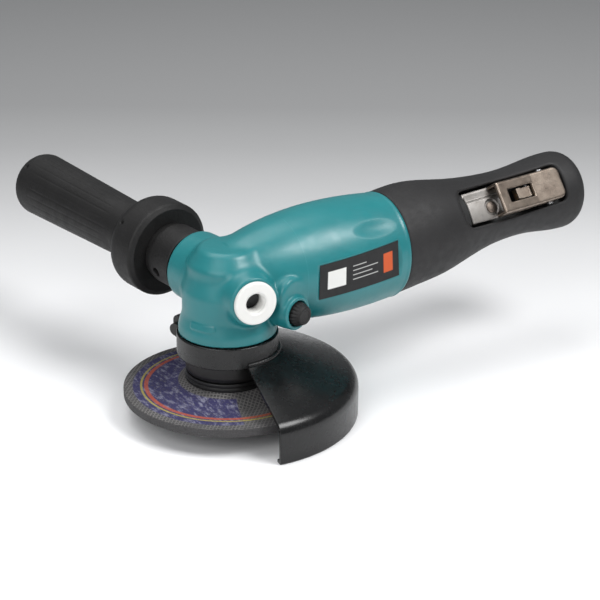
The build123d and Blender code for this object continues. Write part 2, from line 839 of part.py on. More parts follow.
# Head and its bearings
parts["gear_head"] = gear_head()
parts["bearing_cap"] = bearing_cap()
parts["lower_spindle_bearing"] = bearing(lower_seat_r, lower_bearing_r, bearing_low, lower_bearing_width)
parts["upper_spindle_bearing"] = bearing(upper_seat_r, upper_bearing_r, upper_low, upper_bearing_width)
parts["spindle_seal"] = tube(shoulder_r + run_gap, seal_r, seal_low, seal_low + seal_width)

# Handle group
parts["left_handle_insert"] = handle_insert(socket_plane, left_boss_reach, socket_r)
parts["right_handle_insert"] = handle_insert(handle_plane, right_boss_reach, socket_r)
stud_low = right_boss_reach - insert_depth
parts["handle_stud"] = handle_plane * rod(socket_r - seat_gap, stud_low, stud_low + stud_length)
parts["handle_lock_collar"] = lock_collar_piece()
parts["side_handle"] = side_handle()

# Guard group
parts["wheel_guard"] = guard()
parts["guard_clamp_screw"] = clamp_screw()
parts["guard_clamp_nut"] = clamp_nut()

# Motor
front_high = head_rear + end_plate
rear_low = cylinder_end
rear_pocket = rear_low + end_plate - rotor_bearing_width
parts["motor_housing"] = motor_housing()
parts["motor_cylinder"] = motor_cylinder()
parts["front_end_plate"] = end_plate_piece(head_rear, front_high, head_rear)
parts["rear_end_plate"] = end_plate_piece(rear_low, rear_low + end_plate, rear_pocket)
front_bearing = bearing(rotor_shaft_r, rotor_bearing_r, head_rear, rotor_bearing_width)
parts["front_rotor_bearing"] = motor_plane * front_bearing
rear_bearing = bearing(rotor_shaft_r, rotor_bearing_r, rear_pocket, rotor_bearing_width)
parts["rear_rotor_bearing"] = motor_plane * rear_bearing
parts["rotor"] = rotor()
parts["bevel_pinion"] = bevel_pinion()
for i in range(vane_count):
    vane = vane_block(front_high + rotor_end_gap, cylinder_end - rotor_end_gap)
    parts[f"vane_{i + 1}"] = motor_plane * (Rot(0, 0, i * 360 / vane_count) * vane)

# Grip, valve and air inlet
parts["rear_grip"] = rear_grip(core)
parts["valve_body"] = valve_body(core)
parts["valve_seat"] = on_valve(tube(stem_r + run_gap, seat_r - seat_gap, seat_bottom, seat_top))
parts["valve_spring"] = on_valve(tube(spring_r - spring_wall, spring_r, spring_bottom, seat_bottom - stem_head))
parts["valve_cap"] = on_valve(rod(seat_r - seat_gap, cap_bottom, spring_bottom))
parts["valve_stem"] = valve_stem()
bush = tube(inlet_r, inlet_bush_r - seat_gap, -inlet_bush_length, 0)
bush += tube(inlet_r, inlet_flange_r - seat_gap, -core_end_wall, 0)
parts["inlet_bush"] = inlet_plane * bush
screen = rod(inlet_bush_r - seat_gap, -inlet_bush_length - screen_thick, -inlet_bush_length)
for spot in PolarLocations(screen_pcr, screen_holes):
    screen -= spot * rod(screen_hole_r, -inlet_bush_length - screen_thick, -inlet_bush_length)
parts["inlet_screen"] = inlet_plane * screen
muffler = tube(muffler_r - muffler_wall, muffler_r - seat_gap, housing_end, housing_end + muffler_length)
parts["muffler"] = motor_plane * muffler

# Throttle lever group
parts["lever_pivot_pin"] = slot_plane * pivot_rod(pivot_r, pivot_half)
parts["throttle_lever"] = throttle_lever()
parts["lever_pad"] = lever_pad()
parts["latch_pin"] = slot_plane * latch_rod(latch_pin_r, lever_half)
parts["lock_off_latch"] = lock_off_latch()

# Spindle lock group
parts["lock_button"] = lock_button()
parts["lock_pin"] = lock_pin()
spring_top = -button_stroke - button_recess - lock_collar
spring_in = lock_pin_r + body_gap
lock_spring = tube(spring_in, spring_in + lock_spring_wall, spring_top - button_stroke, -button_recess)
parts["lock_spring"] = button_plane * lock_spring

for name, solid in parts.items():
    export_step(solid, f"parts/{name}.step")
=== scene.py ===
import json
from math import acos, ceil, cos, degrees, hypot, pi, radians, sin, tan
import bpy
import numpy as np
from mathutils import Matrix, Vector


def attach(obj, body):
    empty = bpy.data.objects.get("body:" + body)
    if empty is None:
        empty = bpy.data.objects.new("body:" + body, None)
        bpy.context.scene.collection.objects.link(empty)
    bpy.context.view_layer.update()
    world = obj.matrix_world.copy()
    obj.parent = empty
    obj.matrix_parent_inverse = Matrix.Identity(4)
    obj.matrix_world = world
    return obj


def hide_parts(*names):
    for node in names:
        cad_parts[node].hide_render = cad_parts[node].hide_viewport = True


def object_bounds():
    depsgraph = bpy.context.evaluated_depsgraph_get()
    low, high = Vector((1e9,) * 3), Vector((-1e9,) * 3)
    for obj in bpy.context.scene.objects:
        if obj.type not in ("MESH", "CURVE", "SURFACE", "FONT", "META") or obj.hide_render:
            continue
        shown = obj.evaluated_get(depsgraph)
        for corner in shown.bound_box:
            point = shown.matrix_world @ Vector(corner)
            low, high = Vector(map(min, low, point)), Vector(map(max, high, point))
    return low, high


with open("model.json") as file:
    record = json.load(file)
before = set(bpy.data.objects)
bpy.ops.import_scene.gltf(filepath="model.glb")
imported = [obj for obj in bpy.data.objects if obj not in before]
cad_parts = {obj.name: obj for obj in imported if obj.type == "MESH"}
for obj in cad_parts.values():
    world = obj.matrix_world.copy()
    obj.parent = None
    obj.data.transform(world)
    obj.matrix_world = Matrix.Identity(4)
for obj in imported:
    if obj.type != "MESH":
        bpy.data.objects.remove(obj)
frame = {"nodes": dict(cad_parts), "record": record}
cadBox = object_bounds()
nodes = frame["nodes"]
scene = bpy.context.scene
mm = 0.001
print("frame loaded:", len(nodes), "nodes")


# Small helpers for node trees

noiseSpan = (0.3, 0.7)  # where most of a noise lies


def newMaterial(name, colour, rough, metal=0.0, **sockets):
    # sockets go by name, with _ for a space
    mat = bpy.data.materials.new(name)
    mat.use_nodes = True
    shader = mat.node_tree.nodes["Principled BSDF"]
    sockets.update(Base_Color=(*colour, 1.0), Roughness=rough, Metallic=metal)
    for socket, value in sockets.items():
        shader.inputs[socket.replace("_", " ")].default_value = value
    return mat, mat.node_tree, shader


def feed(tree, slot, value):
    # another node's socket is linked, a plain value is set
    if isinstance(value, bpy.types.NodeSocket):
        tree.links.new(value, slot)
    else:
        slot.default_value = value


def addNode(tree, kind, **inputs):
    node = tree.nodes.new("ShaderNode" + kind)
    for key, value in inputs.items():
        feed(tree, node.inputs[key], value)
    return node


def objectPoint(tree, stretch=(1, 1, 1)):
    # place in the part's frame, in metres, with a pattern stretched along its axes
    here = addNode(tree, "TexCoord").outputs["Object"]
    mapping = addNode(tree, "Mapping", Vector=here, Scale=stretch)
    mapping.vector_type = "TEXTURE"
    return mapping.outputs["Vector"]


def noise(tree, point, scale, detail=3.0, rough=0.55):
    tex = addNode(tree, "TexNoise", Vector=point, Scale=scale, Detail=detail, Roughness=rough)
    return tex.outputs["Fac"]


def ramp(tree, value, low, high, first, last):
    # value from low to high gives a number or colour from first to last
    node = addNode(tree, "MapRange")
    start, result = 0, "Result"
    if isinstance(first, tuple):
        node.data_type = "FLOAT_VECTOR"
        low, high = (low,) * 3, (high,) * 3
        start, result = 6, "Vector"
    for slot, given in zip(node.inputs[start:], (value, low, high, first, last)):
        feed(tree, slot, given)
    return node.outputs[result]


def mottle(tree, point, scale, first, last, detail=3.0, rough=0.55, span=noiseSpan):
    # a noise that runs from first to last over its span
    return ramp(tree, noise(tree, point, scale, detail, rough), *span, first, last)


def paint(tree, shader, colour, rough):
    tree.links.new(colour, shader.inputs["Base Color"])
    tree.links.new(rough, shader.inputs["Roughness"])


def bump(tree, shader, height, depth, strength=1.0, **under):
    # under may hold the Normal of a coarser bump below this one
    node = addNode(tree, "Bump", Height=height, Distance=depth, Strength=strength, **under)
    tree.links.new(node.outputs["Normal"], shader.inputs["Normal"])
    return node.outputs["Normal"]


def calc(tree, operation, *values):
    # one sum on sockets or plain numbers
    node = addNode(tree, "Math")
    node.operation = operation
    for slot, value in zip(node.inputs, values):
        feed(tree, slot, value)
    return node.outputs[0]


def between(tree, value, low, high, soft):
    # 1 where value lies between low and high, with soft edges
    rise = ramp(tree, value, low - soft, low + soft, 0.0, 1.0)
    fall = ramp(tree, value, high - soft, high + soft, 1.0, 0.0)
    return calc(tree, "MULTIPLY", rise, fall)


def blendColour(tree, amount, first, last):
    # first where amount is 0, last where it is 1; first is a socket, last a socket or a colour
    node = addNode(tree, "Mix")
    node.data_type = "RGBA"
    last = (*last, 1.0) if isinstance(last, tuple) else last
    for at, value in ((0, amount), (6, first), (7, last)):
        feed(tree, node.inputs[at], value)
    return node.outputs[2]


# Finishes

def tealPaint():
    # sprayed enamel: faint clouds, worn edges, a little orange peel
    look = dict(
        light=(0.013, 0.188, 0.203), dark=(0.010, 0.158, 0.173), worn=(0.060, 0.290, 0.300), peel=0.00007,
        rough=(0.30, 0.44), edge=(0.52, 0.60), edgeWear=0.6, cloudScale=26.0, chipScale=260.0,
        sheenScale=120.0, peelScale=420.0)
    mat, tree, shader = newMaterial("tealEnamel", look["light"], 0.36, Coat_Weight=0.05, Coat_Roughness=0.25)
    point = objectPoint(tree)
    cloud = mottle(tree, point, look["cloudScale"], look["dark"], look["light"], 5.0)
    pointed = addNode(tree, "NewGeometry").outputs["Pointiness"]
    chips = mottle(tree, point, look["chipScale"], 0.0, 1.0, 4.0, span=(0.35, 0.65))
    wear = calc(tree, "MULTIPLY", ramp(tree, pointed, *look["edge"], 0.0, look["edgeWear"]), chips)
    sheen = mottle(tree, point, look["sheenScale"], *look["rough"])
    paint(tree, shader, blendColour(tree, wear, cloud, look["worn"]), sheen)
    bump(tree, shader, noise(tree, point, look["peelScale"], 2.0), look["peel"], 0.5)
    return mat


def grainedSkin(name, colour, rough, grainScale, grainDepth, patches=0.25, shine=0.5):
    # moulded or painted skin: paler patches, uneven sheen and a fine grain
    look = dict(cloudScale=45.0, sheenScale=200.0, leastRough=0.9, mostRough=1.13, lift=0.002)
    mat, tree, shader = newMaterial(name, colour, rough, Specular_IOR_Level=shine)
    point = objectPoint(tree)
    pale = tuple(c * (1 + patches) + look["lift"] for c in colour)
    cloud = mottle(tree, point, look["cloudScale"], colour, pale, 4.0)
    sheen = mottle(tree, point, look["sheenScale"], rough * look["leastRough"], rough * look["mostRough"])
    paint(tree, shader, cloud, sheen)
    bump(tree, shader, noise(tree, point, grainScale, 2.0, 0.6), grainDepth, 0.6)
    return mat


def workedMetal(name, colour, rough, metal=1.0):
    # ground or cast metal: one fine noise darkens, roughens and dents it
    look = dict(scale=900.0, darker=0.78, smoother=0.08, rougher=0.1, dent=0.00003)
    mat, tree, shader = newMaterial(name, colour, rough, metal)
    grain = noise(tree, objectPoint(tree), look["scale"], 3.0, 0.6)
    dark = tuple(look["darker"] * c for c in colour)
    sheen = ramp(tree, grain, *noiseSpan, rough - look["smoother"], rough + look["rougher"])
    paint(tree, shader, ramp(tree, grain, *noiseSpan, dark, colour), sheen)
    bump(tree, shader, grain, look["dent"], 0.5)
    return mat


def platedMetal(name, colour, stain, rough, scale):
    # thin plating: cloudy stains, fine grain, smoother where it is rubbed
    look = dict(stainSpan=(0.35, 0.68), rubScale=4, dull=0.12, rubbed=0.08, grainScale=900.0, grain=0.00005)
    mat, tree, shader = newMaterial(name, colour, rough, 1.0)
    point = objectPoint(tree)
    cloud = mottle(tree, point, scale, stain, colour, 5.0, 0.65, look["stainSpan"])
    sheen = mottle(tree, point, look["rubScale"] * scale, rough + look["dull"], rough - look["rubbed"])
    paint(tree, shader, cloud, sheen)
    bump(tree, shader, noise(tree, point, look["grainScale"], 3.0, 0.6), look["grain"], 0.5)
    return mat


def wheelFace():
    # resin wheel: grit, a glass mesh of crossed threads, and a plain printed ring with two coloured arcs
    look = dict(
        grit=(0.031, 0.030, 0.031), pale=(0.074, 0.071, 0.073), thread=(0.205, 0.196, 0.190), pitch=0.0027,
        threadCover=0.75, topFace=(0.0045, 0.0105), ring=(0.0275, 0.0525), bare=(-1.95, -0.2),
        ink=(0.030, 0.027, 0.095), inkPale=(0.21, 0.21, 0.29), gritDepth=0.0004, threadDepth=0.0003,
        arcs=((0.0440, 0.0462, (0.40, 0.075, 0.030)), (0.0472, 0.0484, (0.36, 0.30, 0.060))))
    mat, tree, shader = newMaterial("resinWheel", look["grit"], 0.85)

    def times(first, second):
        return calc(tree, "MULTIPLY", first, second)

    point = objectPoint(tree)
    grains = noise(tree, point, 1400.0, 4.0, 0.7)
    x, y, z = addNode(tree, "SeparateXYZ", Vector=point).outputs
    threads = []
    for across in (calc(tree, "ADD", x, y), calc(tree, "SUBTRACT", x, y)):
        wave = calc(tree, "COSINE", times(across, 2 * pi / look["pitch"]))
        threads.append(ramp(tree, wave, 0.2, 0.95, 0.0, 1.0))
    up = between(tree, z, *look["topFace"], 0.0002)
    patchy = mottle(tree, point, 90.0, 0.35, 1.0, span=(0.3, 0.6))
    mesh = times(times(calc(tree, "MAXIMUM", *threads), up), patchy)
    skin = ramp(tree, grains, *noiseSpan, look["grit"], look["pale"])
    skin = blendColour(tree, times(mesh, look["threadCover"]), skin, look["thread"])

    radius = calc(tree, "SQRT", calc(tree, "ADD", times(x, x), times(y, y)))
    bare = between(tree, calc(tree, "ARCTAN2", y, x), *look["bare"], 0.01)
    ring = times(times(between(tree, radius, *look["ring"], 0.0003), up), calc(tree, "SUBTRACT", 1.0, bare))
    rubbed = mottle(tree, point, 700.0, 0.35, 1.0, 4.0, 0.7, (0.34, 0.46))
    wide = objectPoint(tree, (1, 3, 1))
    speckle = mottle(tree, wide, 480.0, look["ink"], look["inkPale"], 3.0, 0.7, (0.5, 0.68))
    skin = blendColour(tree, times(ring, rubbed), skin, speckle)
    for low, high, colour in look["arcs"]:
        arc = times(between(tree, radius, low, high, 0.0002), up)
        skin = blendColour(tree, times(arc, ramp(tree, grains, 0.3, 0.55, 0.4, 0.9)), skin, colour)
    tree.links.new(skin, shader.inputs["Base Color"])
    under = bump(tree, shader, grains, look["gritDepth"], 0.7)
    bump(tree, shader, mesh, look["threadDepth"], 0.6, Normal=under)
    return mat


def flankPrint():
    # charcoal plate: a pale tile, four blank rules and an orange block, laid out on the plate's own map
    look = dict(
        ground=(0.007, 0.007, 0.0075), cloud=(0.012, 0.012, 0.013), pale=(0.42, 0.42, 0.41),
        tile=(0.72, 0.72, 0.70), block=(0.52, 0.085, 0.020), rough=(0.30, 0.46), mapSize=(53.0, 22.0),
        tileAt=(5.0, 16.5, 5.4, 16.6), blockAt=(42.0, 48.5, 5.0, 17.0), ruleHalf=0.3,
        rules=((7.4, 21.0, 38.0), (10.2, 21.0, 34.0), (13.0, 21.0, 38.0), (15.8, 21.0, 30.0)))
    mat, tree, shader = newMaterial("flankPrint", look["ground"], 0.38, Specular_IOR_Level=0.3)
    point = objectPoint(tree)
    flat = addNode(tree, "UVMap").outputs["UV"]
    shares = addNode(tree, "SeparateXYZ", Vector=flat).outputs
    wide, high = (calc(tree, "MULTIPLY", *pair) for pair in zip(shares, look["mapSize"]))

    def patch(left, right, low, top, soft):
        inside = between(tree, wide, left, right, soft)
        return calc(tree, "MULTIPLY", inside, between(tree, high, low, top, soft))

    skin = mottle(tree, point, 200.0, look["ground"], look["cloud"], 4.0)
    skin = blendColour(tree, patch(*look["tileAt"], 0.2), skin, look["tile"])
    for at, left, right in look["rules"]:
        rule = patch(left, right, at - look["ruleHalf"], at + look["ruleHalf"], 0.12)
        skin = blendColour(tree, rule, skin, look["pale"])
    skin = blendColour(tree, patch(*look["blockAt"], 0.2), skin, look["block"])
    paint(tree, shader, skin, mottle(tree, point, 300.0, *look["rough"]))
    bump(tree, shader, noise(tree, point, 900.0, 2.0), 0.00003, 0.4)
    return mat


finish = {
    "teal_paint": tealPaint(),
    "grip_rubber": grainedSkin("gripRubber", (0.0105, 0.0100, 0.0105), 0.60, 1500.0, 0.0002, shine=0.42),
    "handle_plastic": grainedSkin("handleMoulding", (0.005, 0.0046, 0.0046), 0.56, 1100.0, 0.0003, 0.5, 0.38),
    "guard_paint": grainedSkin("guardEnamel", (0.0036, 0.0036, 0.0038), 0.26, 420.0, 0.000025, 0.2, 0.42),
    "black_oxide": grainedSkin("blackenedSteel", (0.006, 0.006, 0.006), 0.40, 900.0, 0.0001),
    "white_nylon": grainedSkin("whiteNylon", (0.74, 0.735, 0.71), 0.40, 700.0, 0.00008, 0.02),
    "nickel_plate": platedMetal("nickelPlate", (0.335, 0.28, 0.233), (0.19, 0.152, 0.124), 0.38, 130.0),
    "steel": workedMetal("groundSteel", (0.44, 0.44, 0.45), 0.34),
    "aluminium": workedMetal("darkCasting", (0.03, 0.03, 0.03), 0.5, metal=0.4),
    "abrasive": wheelFace(),
    "brass": workedMetal("turnedBrass", (0.60, 0.42, 0.20), 0.3),
    "cast_iron": workedMetal("groundIron", (0.30, 0.30, 0.31), 0.4),
    "vane_plastic": grainedSkin("vaneFibre", (0.20, 0.12, 0.065), 0.6, 900.0, 0.0001),
    "felt": grainedSkin("pressedFelt", (0.45, 0.45, 0.42), 0.95, 900.0, 0.0004),
    "seal_rubber": grainedSkin("sealRubber", (0.012, 0.012, 0.012), 0.5, 900.0, 0.0001),
}
for row in frame["record"]["subparts"]:
    mesh = nodes[row["node"]].data
    mesh.materials.clear()
    mesh.materials.append(finish[row["material_slot"]])
print("finishes set:", len(finish))


# Shapes: everything below is in millimetres until it goes into a mesh

def outward(points, faces):
    # each face is cut into a fan; a closed surface whose signed volume is negative is turned round
    fans = [(f[0], f[i], f[i + 1]) for f in faces for i in range(1, len(f) - 1)]
    tris = points[np.array(fans)]
    volume = np.einsum("ij,ij->i", tris[:, 0], np.cross(tris[:, 1], tris[:, 2])).sum()
    return faces if volume > 0 else [f[::-1] for f in faces]


def addObject(name, data):
    made = bpy.data.objects.new(name, data)
    scene.collection.objects.link(made)
    return made


def addPiece(name, points, faces, body, slotName, replaced=(), uv=None, own=None, crease=45.0):
    # a mesh that rides on a body; own is a finish other than its slot's
    mesh = bpy.data.meshes.new(name)
    mesh.from_pydata((points * mm).tolist(), [], outward(points, faces))
    mesh.update()
    mesh.shade_smooth()
    if crease:
        mesh.set_sharp_from_angle(angle=radians(crease))
    if uv is not None:
        loops = [loop.vertex_index for loop in mesh.loops]
        layer = mesh.uv_layers.new(name="UVMap")
        layer.data.foreach_set("uv", np.asarray(uv, np.float32)[loops].ravel())
    mesh.materials.append(own or finish[slotName])
    piece = addObject(name, mesh)
    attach(piece, body)
    if replaced:
        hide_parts(*replaced)
    return piece


def gridFaces(grid, wrapRows, wrapCols, caps=False):
    # quads over a grid of points; caps are fans of triangles to the means of the first and last rows
    rows, cols = grid.shape[:2]
    points = grid.reshape(-1, 3)
    index = np.arange(rows * cols).reshape(rows, cols)
    full = np.vstack([index, index[:1]]) if wrapRows else index
    full = np.hstack([full, full[:, :1]]) if wrapCols else full
    faces = np.stack([full[:-1, :-1], full[:-1, 1:], full[1:, 1:], full[1:, :-1]], -1).reshape(-1, 4).tolist()
    for row in (0, -1) if caps else ():
        ring, ahead = index[row], np.roll(index[row], -1)
        pair = (ring, ahead) if row else (ahead, ring)
        points = np.vstack([points, grid[row].mean(0)])
        tip = np.full(cols, len(points) - 1)
        faces += np.stack([tip, *pair], -1).tolist()
    return points, faces


def slabFaces(top, bottom):
    # two grids of the same shape joined round their borders
    rows, cols = top.shape[:2]
    index = np.arange(rows * cols).reshape(rows, cols)
    quads = np.array(gridFaces(top, False, False)[1])
    border = np.concatenate([index[0, :-1], index[:-1, -1], index[-1, :0:-1], index[:0:-1, 0]])
    ahead = np.roll(border, -1)
    side = np.stack([ahead, border, border + rows * cols, ahead + rows * cols], -1)
    faces = np.vstack([quads, quads[:, ::-1] + rows * cols, side])
    return np.vstack([top.reshape(-1, 3), bottom.reshape(-1, 3)]), faces.tolist()


def roundedOutline(corners, steps=5, hold=0.25, closed=True):
    # each corner (a, b, radius) becomes an arc tangent to both its sides, with a point held beyond each end
    spots = np.array([c[:2] for c in corners], float)
    count = len(spots)
    made = []
    for i, (_, _, radius) in enumerate(corners):
        here = spots[i]
        if radius == 0 or (not closed and i in (0, count - 1)):
            made.append(here[None])
            continue
        back, ahead = spots[i - 1] - here, spots[(i + 1) % count] - here
        lenBack, lenAhead = np.linalg.norm(back), np.linalg.norm(ahead)
        back, ahead = back / lenBack, ahead / lenAhead
        half = acos(np.clip(back @ ahead, -1, 1)) / 2
        cut = min(radius / tan(half), 0.49 * lenBack, 0.49 * lenAhead)
        radius = cut * tan(half)
        middle = here + (back + ahead) / np.linalg.norm(back + ahead) * radius / sin(half)
        first, last = here + back * cut - middle, here + ahead * cut - middle
        t = np.linspace(0, 1, steps + 1)[:, None]
        sweep = pi - 2 * half
        arc = (np.sin((1 - t) * sweep) * first + np.sin(t * sweep) * last) / sin(sweep) + middle
        gap = min(hold, 0.4 * (lenBack - cut), 0.4 * (lenAhead - cut))
        made += [(here + back * (cut + gap))[None], arc, (here + ahead * (cut + gap))[None]]
    return np.vstack(made)


def finer(outline, step, spots=None, reach=3.0):
    # runs longer than step are cut into equal parts, near the spots only if there are any
    rows = [outline[:1]]
    for a, b in zip(outline[:-1], outline[1:]):
        close = spots is None or min(abs((a[1] + b[1]) / 2 - spot) for spot in spots) < reach
        parts = ceil(np.linalg.norm(b - a) / step) if close else 1
        rows.append(a + (b - a) * np.linspace(0, 1, parts + 1)[1:, None])
    return np.vstack(rows)


def axisFrame(origin, along, across):
    # right-handed axes with z along the piece
    z = np.array(along, float) / np.linalg.norm(along)
    x = np.array(across, float)
    x -= z * (x @ z)
    x /= np.linalg.norm(x)
    return np.array(origin, float), np.array([x, np.cross(z, x), z])


def toFrame(axisSet, points):
    # from a piece's own axes: the origin plus each coordinate times its axis
    origin, axes = axisSet
    return np.asarray(points) @ axes + origin


def fromFrame(axisSet, x, y, z):
    # into a piece's own axes: the offset from the origin measured along each axis
    origin, axes = axisSet
    moved = (x - origin[0], y - origin[1], z - origin[2])
    return [sum(a * b for a, b in zip(axis, moved)) for axis in axes]


def splay(yaw, rise, side):
    # direction to one side (+1 or -1 along y), turned forward by yaw and up by rise
    turn, lift = radians(yaw), radians(rise)
    return -sin(turn) * cos(lift), side * cos(turn) * cos(lift), sin(lift)


place = dict(
    motorZ=66.0, bossAt=(3, 0, 62.8), bossYaw=8, handleRise=3.1, socketRise=1.0, buttonAt=(24.2, -33, 52.4),
    buttonYaw=15, slotAt=(190, 0, 73.8), slotRise=3.5, slotRoll=56, inletAt=(239.5, 0, 75.5))
motorAxis = axisFrame((0, 0, place["motorZ"]), (1, 0, 0), (0, -1, 0))
handleAxis = axisFrame(place["bossAt"], splay(place["bossYaw"], place["handleRise"], 1), (0, 0, 1))
socketAxis = axisFrame(place["bossAt"], splay(place["bossYaw"], place["socketRise"], -1), (0, 0, 1))
buttonAxis = axisFrame(place["buttonAt"], splay(-place["buttonYaw"], 0, -1), (0, 0, 1))
tip, roll = radians(place["slotRise"]), radians(place["slotRoll"])
slotOut = (-sin(tip) * cos(roll), -sin(roll), cos(tip) * cos(roll))
slotAxis = axisFrame(place["slotAt"], slotOut, (cos(tip), 0, sin(tip)))
inletAxis = axisFrame(place["inletAt"], (1, 0, 0), (0, -1, 0))
spindleAxis = axisFrame((0, 0, 0), (0, 0, 1), (1, 0, 0))


def roundAxis(radius, height, angle):
    # points at these radii, heights and angles about z
    return np.stack([radius * np.cos(angle), radius * np.sin(angle), height + 0 * angle], -1)


def turnedPiece(name, outline, axisSet, body, slotName, replaced, count, closed=True, shift=None, own=None):
    # outline of (radius, height) points carried round an axis; shift(radius, height, angle) moves its radius
    angle = np.linspace(0, 2 * pi, count, endpoint=False)[None, :]
    radius = outline[:, :1] + 0 * angle
    height = outline[:, 1:] + 0 * angle
    if shift is not None:
        radius = shift(radius, height, angle + 0 * radius)
    grid = roundAxis(radius, height, angle)
    points, faces = gridFaces(grid, True, True) if closed else gridFaces(grid[1:-1], False, True, True)
    addPiece(name, toFrame(axisSet, points), faces, body, slotName, replaced, own=own)


def nearTurn(angle):
    # the same angle between minus and plus half a turn
    return (angle + pi) % (2 * pi) - pi


# A blended casting is no single sheet over two parameters, so its distance field is meshed:
# each lattice cell that the surface crosses gets one point at the mean of its edge crossings,
# each crossed lattice edge one quad, and three Newton steps pull the points onto the surface.

def fieldFaces(field, low, high, step):
    axes = [np.arange(a - step, b + 2 * step, step) for a, b in zip(low, high)]
    values = field(*np.meshgrid(*axes, indexing="ij"))
    inside = values < 0
    cells = tuple(n - 1 for n in values.shape)
    total = np.zeros(cells + (3,))
    count = np.zeros(cells)
    edges = []
    for d, unit in enumerate(np.eye(3, dtype=int)):
        crossed = np.argwhere(np.diff(inside, axis=d))
        a, b = values[tuple(crossed.T)], values[tuple((crossed + unit).T)]
        spot = crossed.astype(float)
        spot[:, d] += a / (a - b)
        e, f = (d + 1) % 3, (d + 2) % 3
        around = []
        for de, df in ((-1, -1), (0, -1), (0, 0), (-1, 0)):
            cell = crossed.copy()
            cell[:, e] += de
            cell[:, f] += df
            np.add.at(total, tuple(cell.T), spot)
            np.add.at(count, tuple(cell.T), 1)
            around.append(cell)
        edges.append((around, a < 0))
    used = count > 0
    number = np.full(cells, -1)
    number[used] = np.arange(used.sum())
    points = total[used] / count[used][:, None] * step + np.array([x[0] for x in axes])
    faces = []
    for around, rising in edges:
        quad = np.stack([number[tuple(c.T)] for c in around], -1)
        faces.append(np.where(rising[:, None], quad, quad[:, ::-1]))
    small, leastSlope = 0.02, 0.2
    for _ in range(3):
        rise = [field(*(points + small * unit).T) - field(*(points - small * unit).T) for unit in np.eye(3)]
        slope = np.stack(rise, -1) / (2 * small)
        move = field(*points.T)[:, None] * slope / np.maximum((slope ** 2).sum(1), leastSlope)[:, None]
        points = points - np.clip(move, -0.5 * step, 0.5 * step)
    return points, np.vstack(faces).tolist()


def castPiece(name, field, piece, body, slotName, replaced, axisSet=spindleAxis):
    # piece gives the lattice: its low and high corners and its step, on the axes that the field is laid in
    points, faces = fieldFaces(field, piece["low"], piece["high"], piece["step"])
    addPiece(name, toFrame(axisSet, points), faces, body, slotName, replaced, crease=None)
    print(name + ":", len(faces), "quads")


def smoothMin(a, b, width):
    # the lower of two fields, rounded over where they are within width of each other
    h = np.clip(0.5 + 0.5 * (b - a) / width, 0, 1)
    return b + (a - b) * h - width * h * (1 - h)


def smoothMax(a, b, width):
    # the higher of two fields, rounded over in the same way
    return -smoothMin(-a, -b, width)


def coneField(axisSet, x, y, z, startR, endR, length, edge):
    # distance to a cone's side, cut off by its two ends, the far one with a rounded edge
    a, b, along = fromFrame(axisSet, x, y, z)
    lean = (endR - startR) / length
    side = (np.hypot(a, b) - startR - lean * along) / hypot(1, lean)
    return np.maximum(smoothMax(side, along - length, edge), -along)


def rodField(axisSet, x, y, z, radius, low, high):
    # distance to a round rod between two ends
    a, b, along = fromFrame(axisSet, x, y, z)
    return np.maximum(np.hypot(a, b) - radius, np.maximum(low - along, along - high))


def rectangleField(a, first, last, b, half, radius):
    # distance to a rectangle from first to last along a and half to each side along b, its corners rounded
    a = np.abs(a - (first + last) / 2) - (last - first) / 2 + radius
    b = np.abs(b) - half + radius
    return np.hypot(np.maximum(a, 0), np.maximum(b, 0)) + np.minimum(np.maximum(a, b), 0) - radius


def smoothThrough(stations, at):
    # natural cubic spline through (place, value) rows
    s = np.array(stations, float)
    n = len(s)
    h = np.diff(s[:, 0])
    system = np.eye(n)
    right = np.zeros(n)
    for i in range(1, n - 1):
        system[i, i - 1:i + 2] = h[i - 1], 2 * (h[i - 1] + h[i]), h[i]
        right[i] = 6 * ((s[i + 1, 1] - s[i, 1]) / h[i] - (s[i, 1] - s[i - 1, 1]) / h[i - 1])
    bend = np.linalg.solve(system, right)
    i = np.clip(np.searchsorted(s[:, 0], at) - 1, 0, n - 2)
    u, v = s[i + 1, 0] - at, at - s[i, 0]
    curve = (bend[i] * u ** 3 + bend[i + 1] * v ** 3) / (6 * h[i])
    curve = curve + (s[i, 1] / h[i] - bend[i] * h[i] / 6) * u
    return curve + (s[i + 1, 1] / h[i] - bend[i + 1] * h[i] / 6) * v


# Gear head: a column, the swell to the barrel, two handle bosses and the lock boss, blended into one casting

head = dict(
    step=0.6, low=(-31, -38, 35), high=(35, 38, 97), foot=37.5, rear=34.0, top=86.0, topEdge=2.5,
    column=((30, 26.8), (41.5, 26.8), (49, 24.6), (62, 24.6), (72, 21.5), (77, 21.5), (86, 15.0), (95, 8.5)),
    soften=(-1.5, -0.75, 0, 0.75, 1.5), swell=(-0.0027, 0.3535, 20.5), rearBlend=2.2,
    bosses=((handleAxis, 21.0, 19.6, 33.0, 2.2), (socketAxis, 20.5, 13.4, 30.0, 1.2)), bossBlend=2.6,
    lockR=9.4, lockEdge=1.2, lockDepth=20.0, lockBlend=2.0, flankTall=10.0, flankBack=3.0, flankEdge=3.0,
    flankBlend=1.5, barAt=206.0, barZ=46.8, barHalf=6.2, barR=1.8, barRaise=0.45, barBlend=0.5,
    columnScale=0.9, swellScale=0.95,  # a slanting side is nearer straight out than across
    rooms=((spindleAxis, 22.3, 30, 65.1), (spindleAxis, 8.5, 30, 77.4), (spindleAxis, 9.5, 77.4, 82.4),
           (motorAxis, 11.0, 0, 40), (buttonAxis, 7.25, -6.1, 10), (buttonAxis, 4.3, -11.6, 10),
           (buttonAxis, 2.4, -27, 10), (socketAxis, 9.05, 22.9, 40), (handleAxis, 9.05, 25.9, 40)))


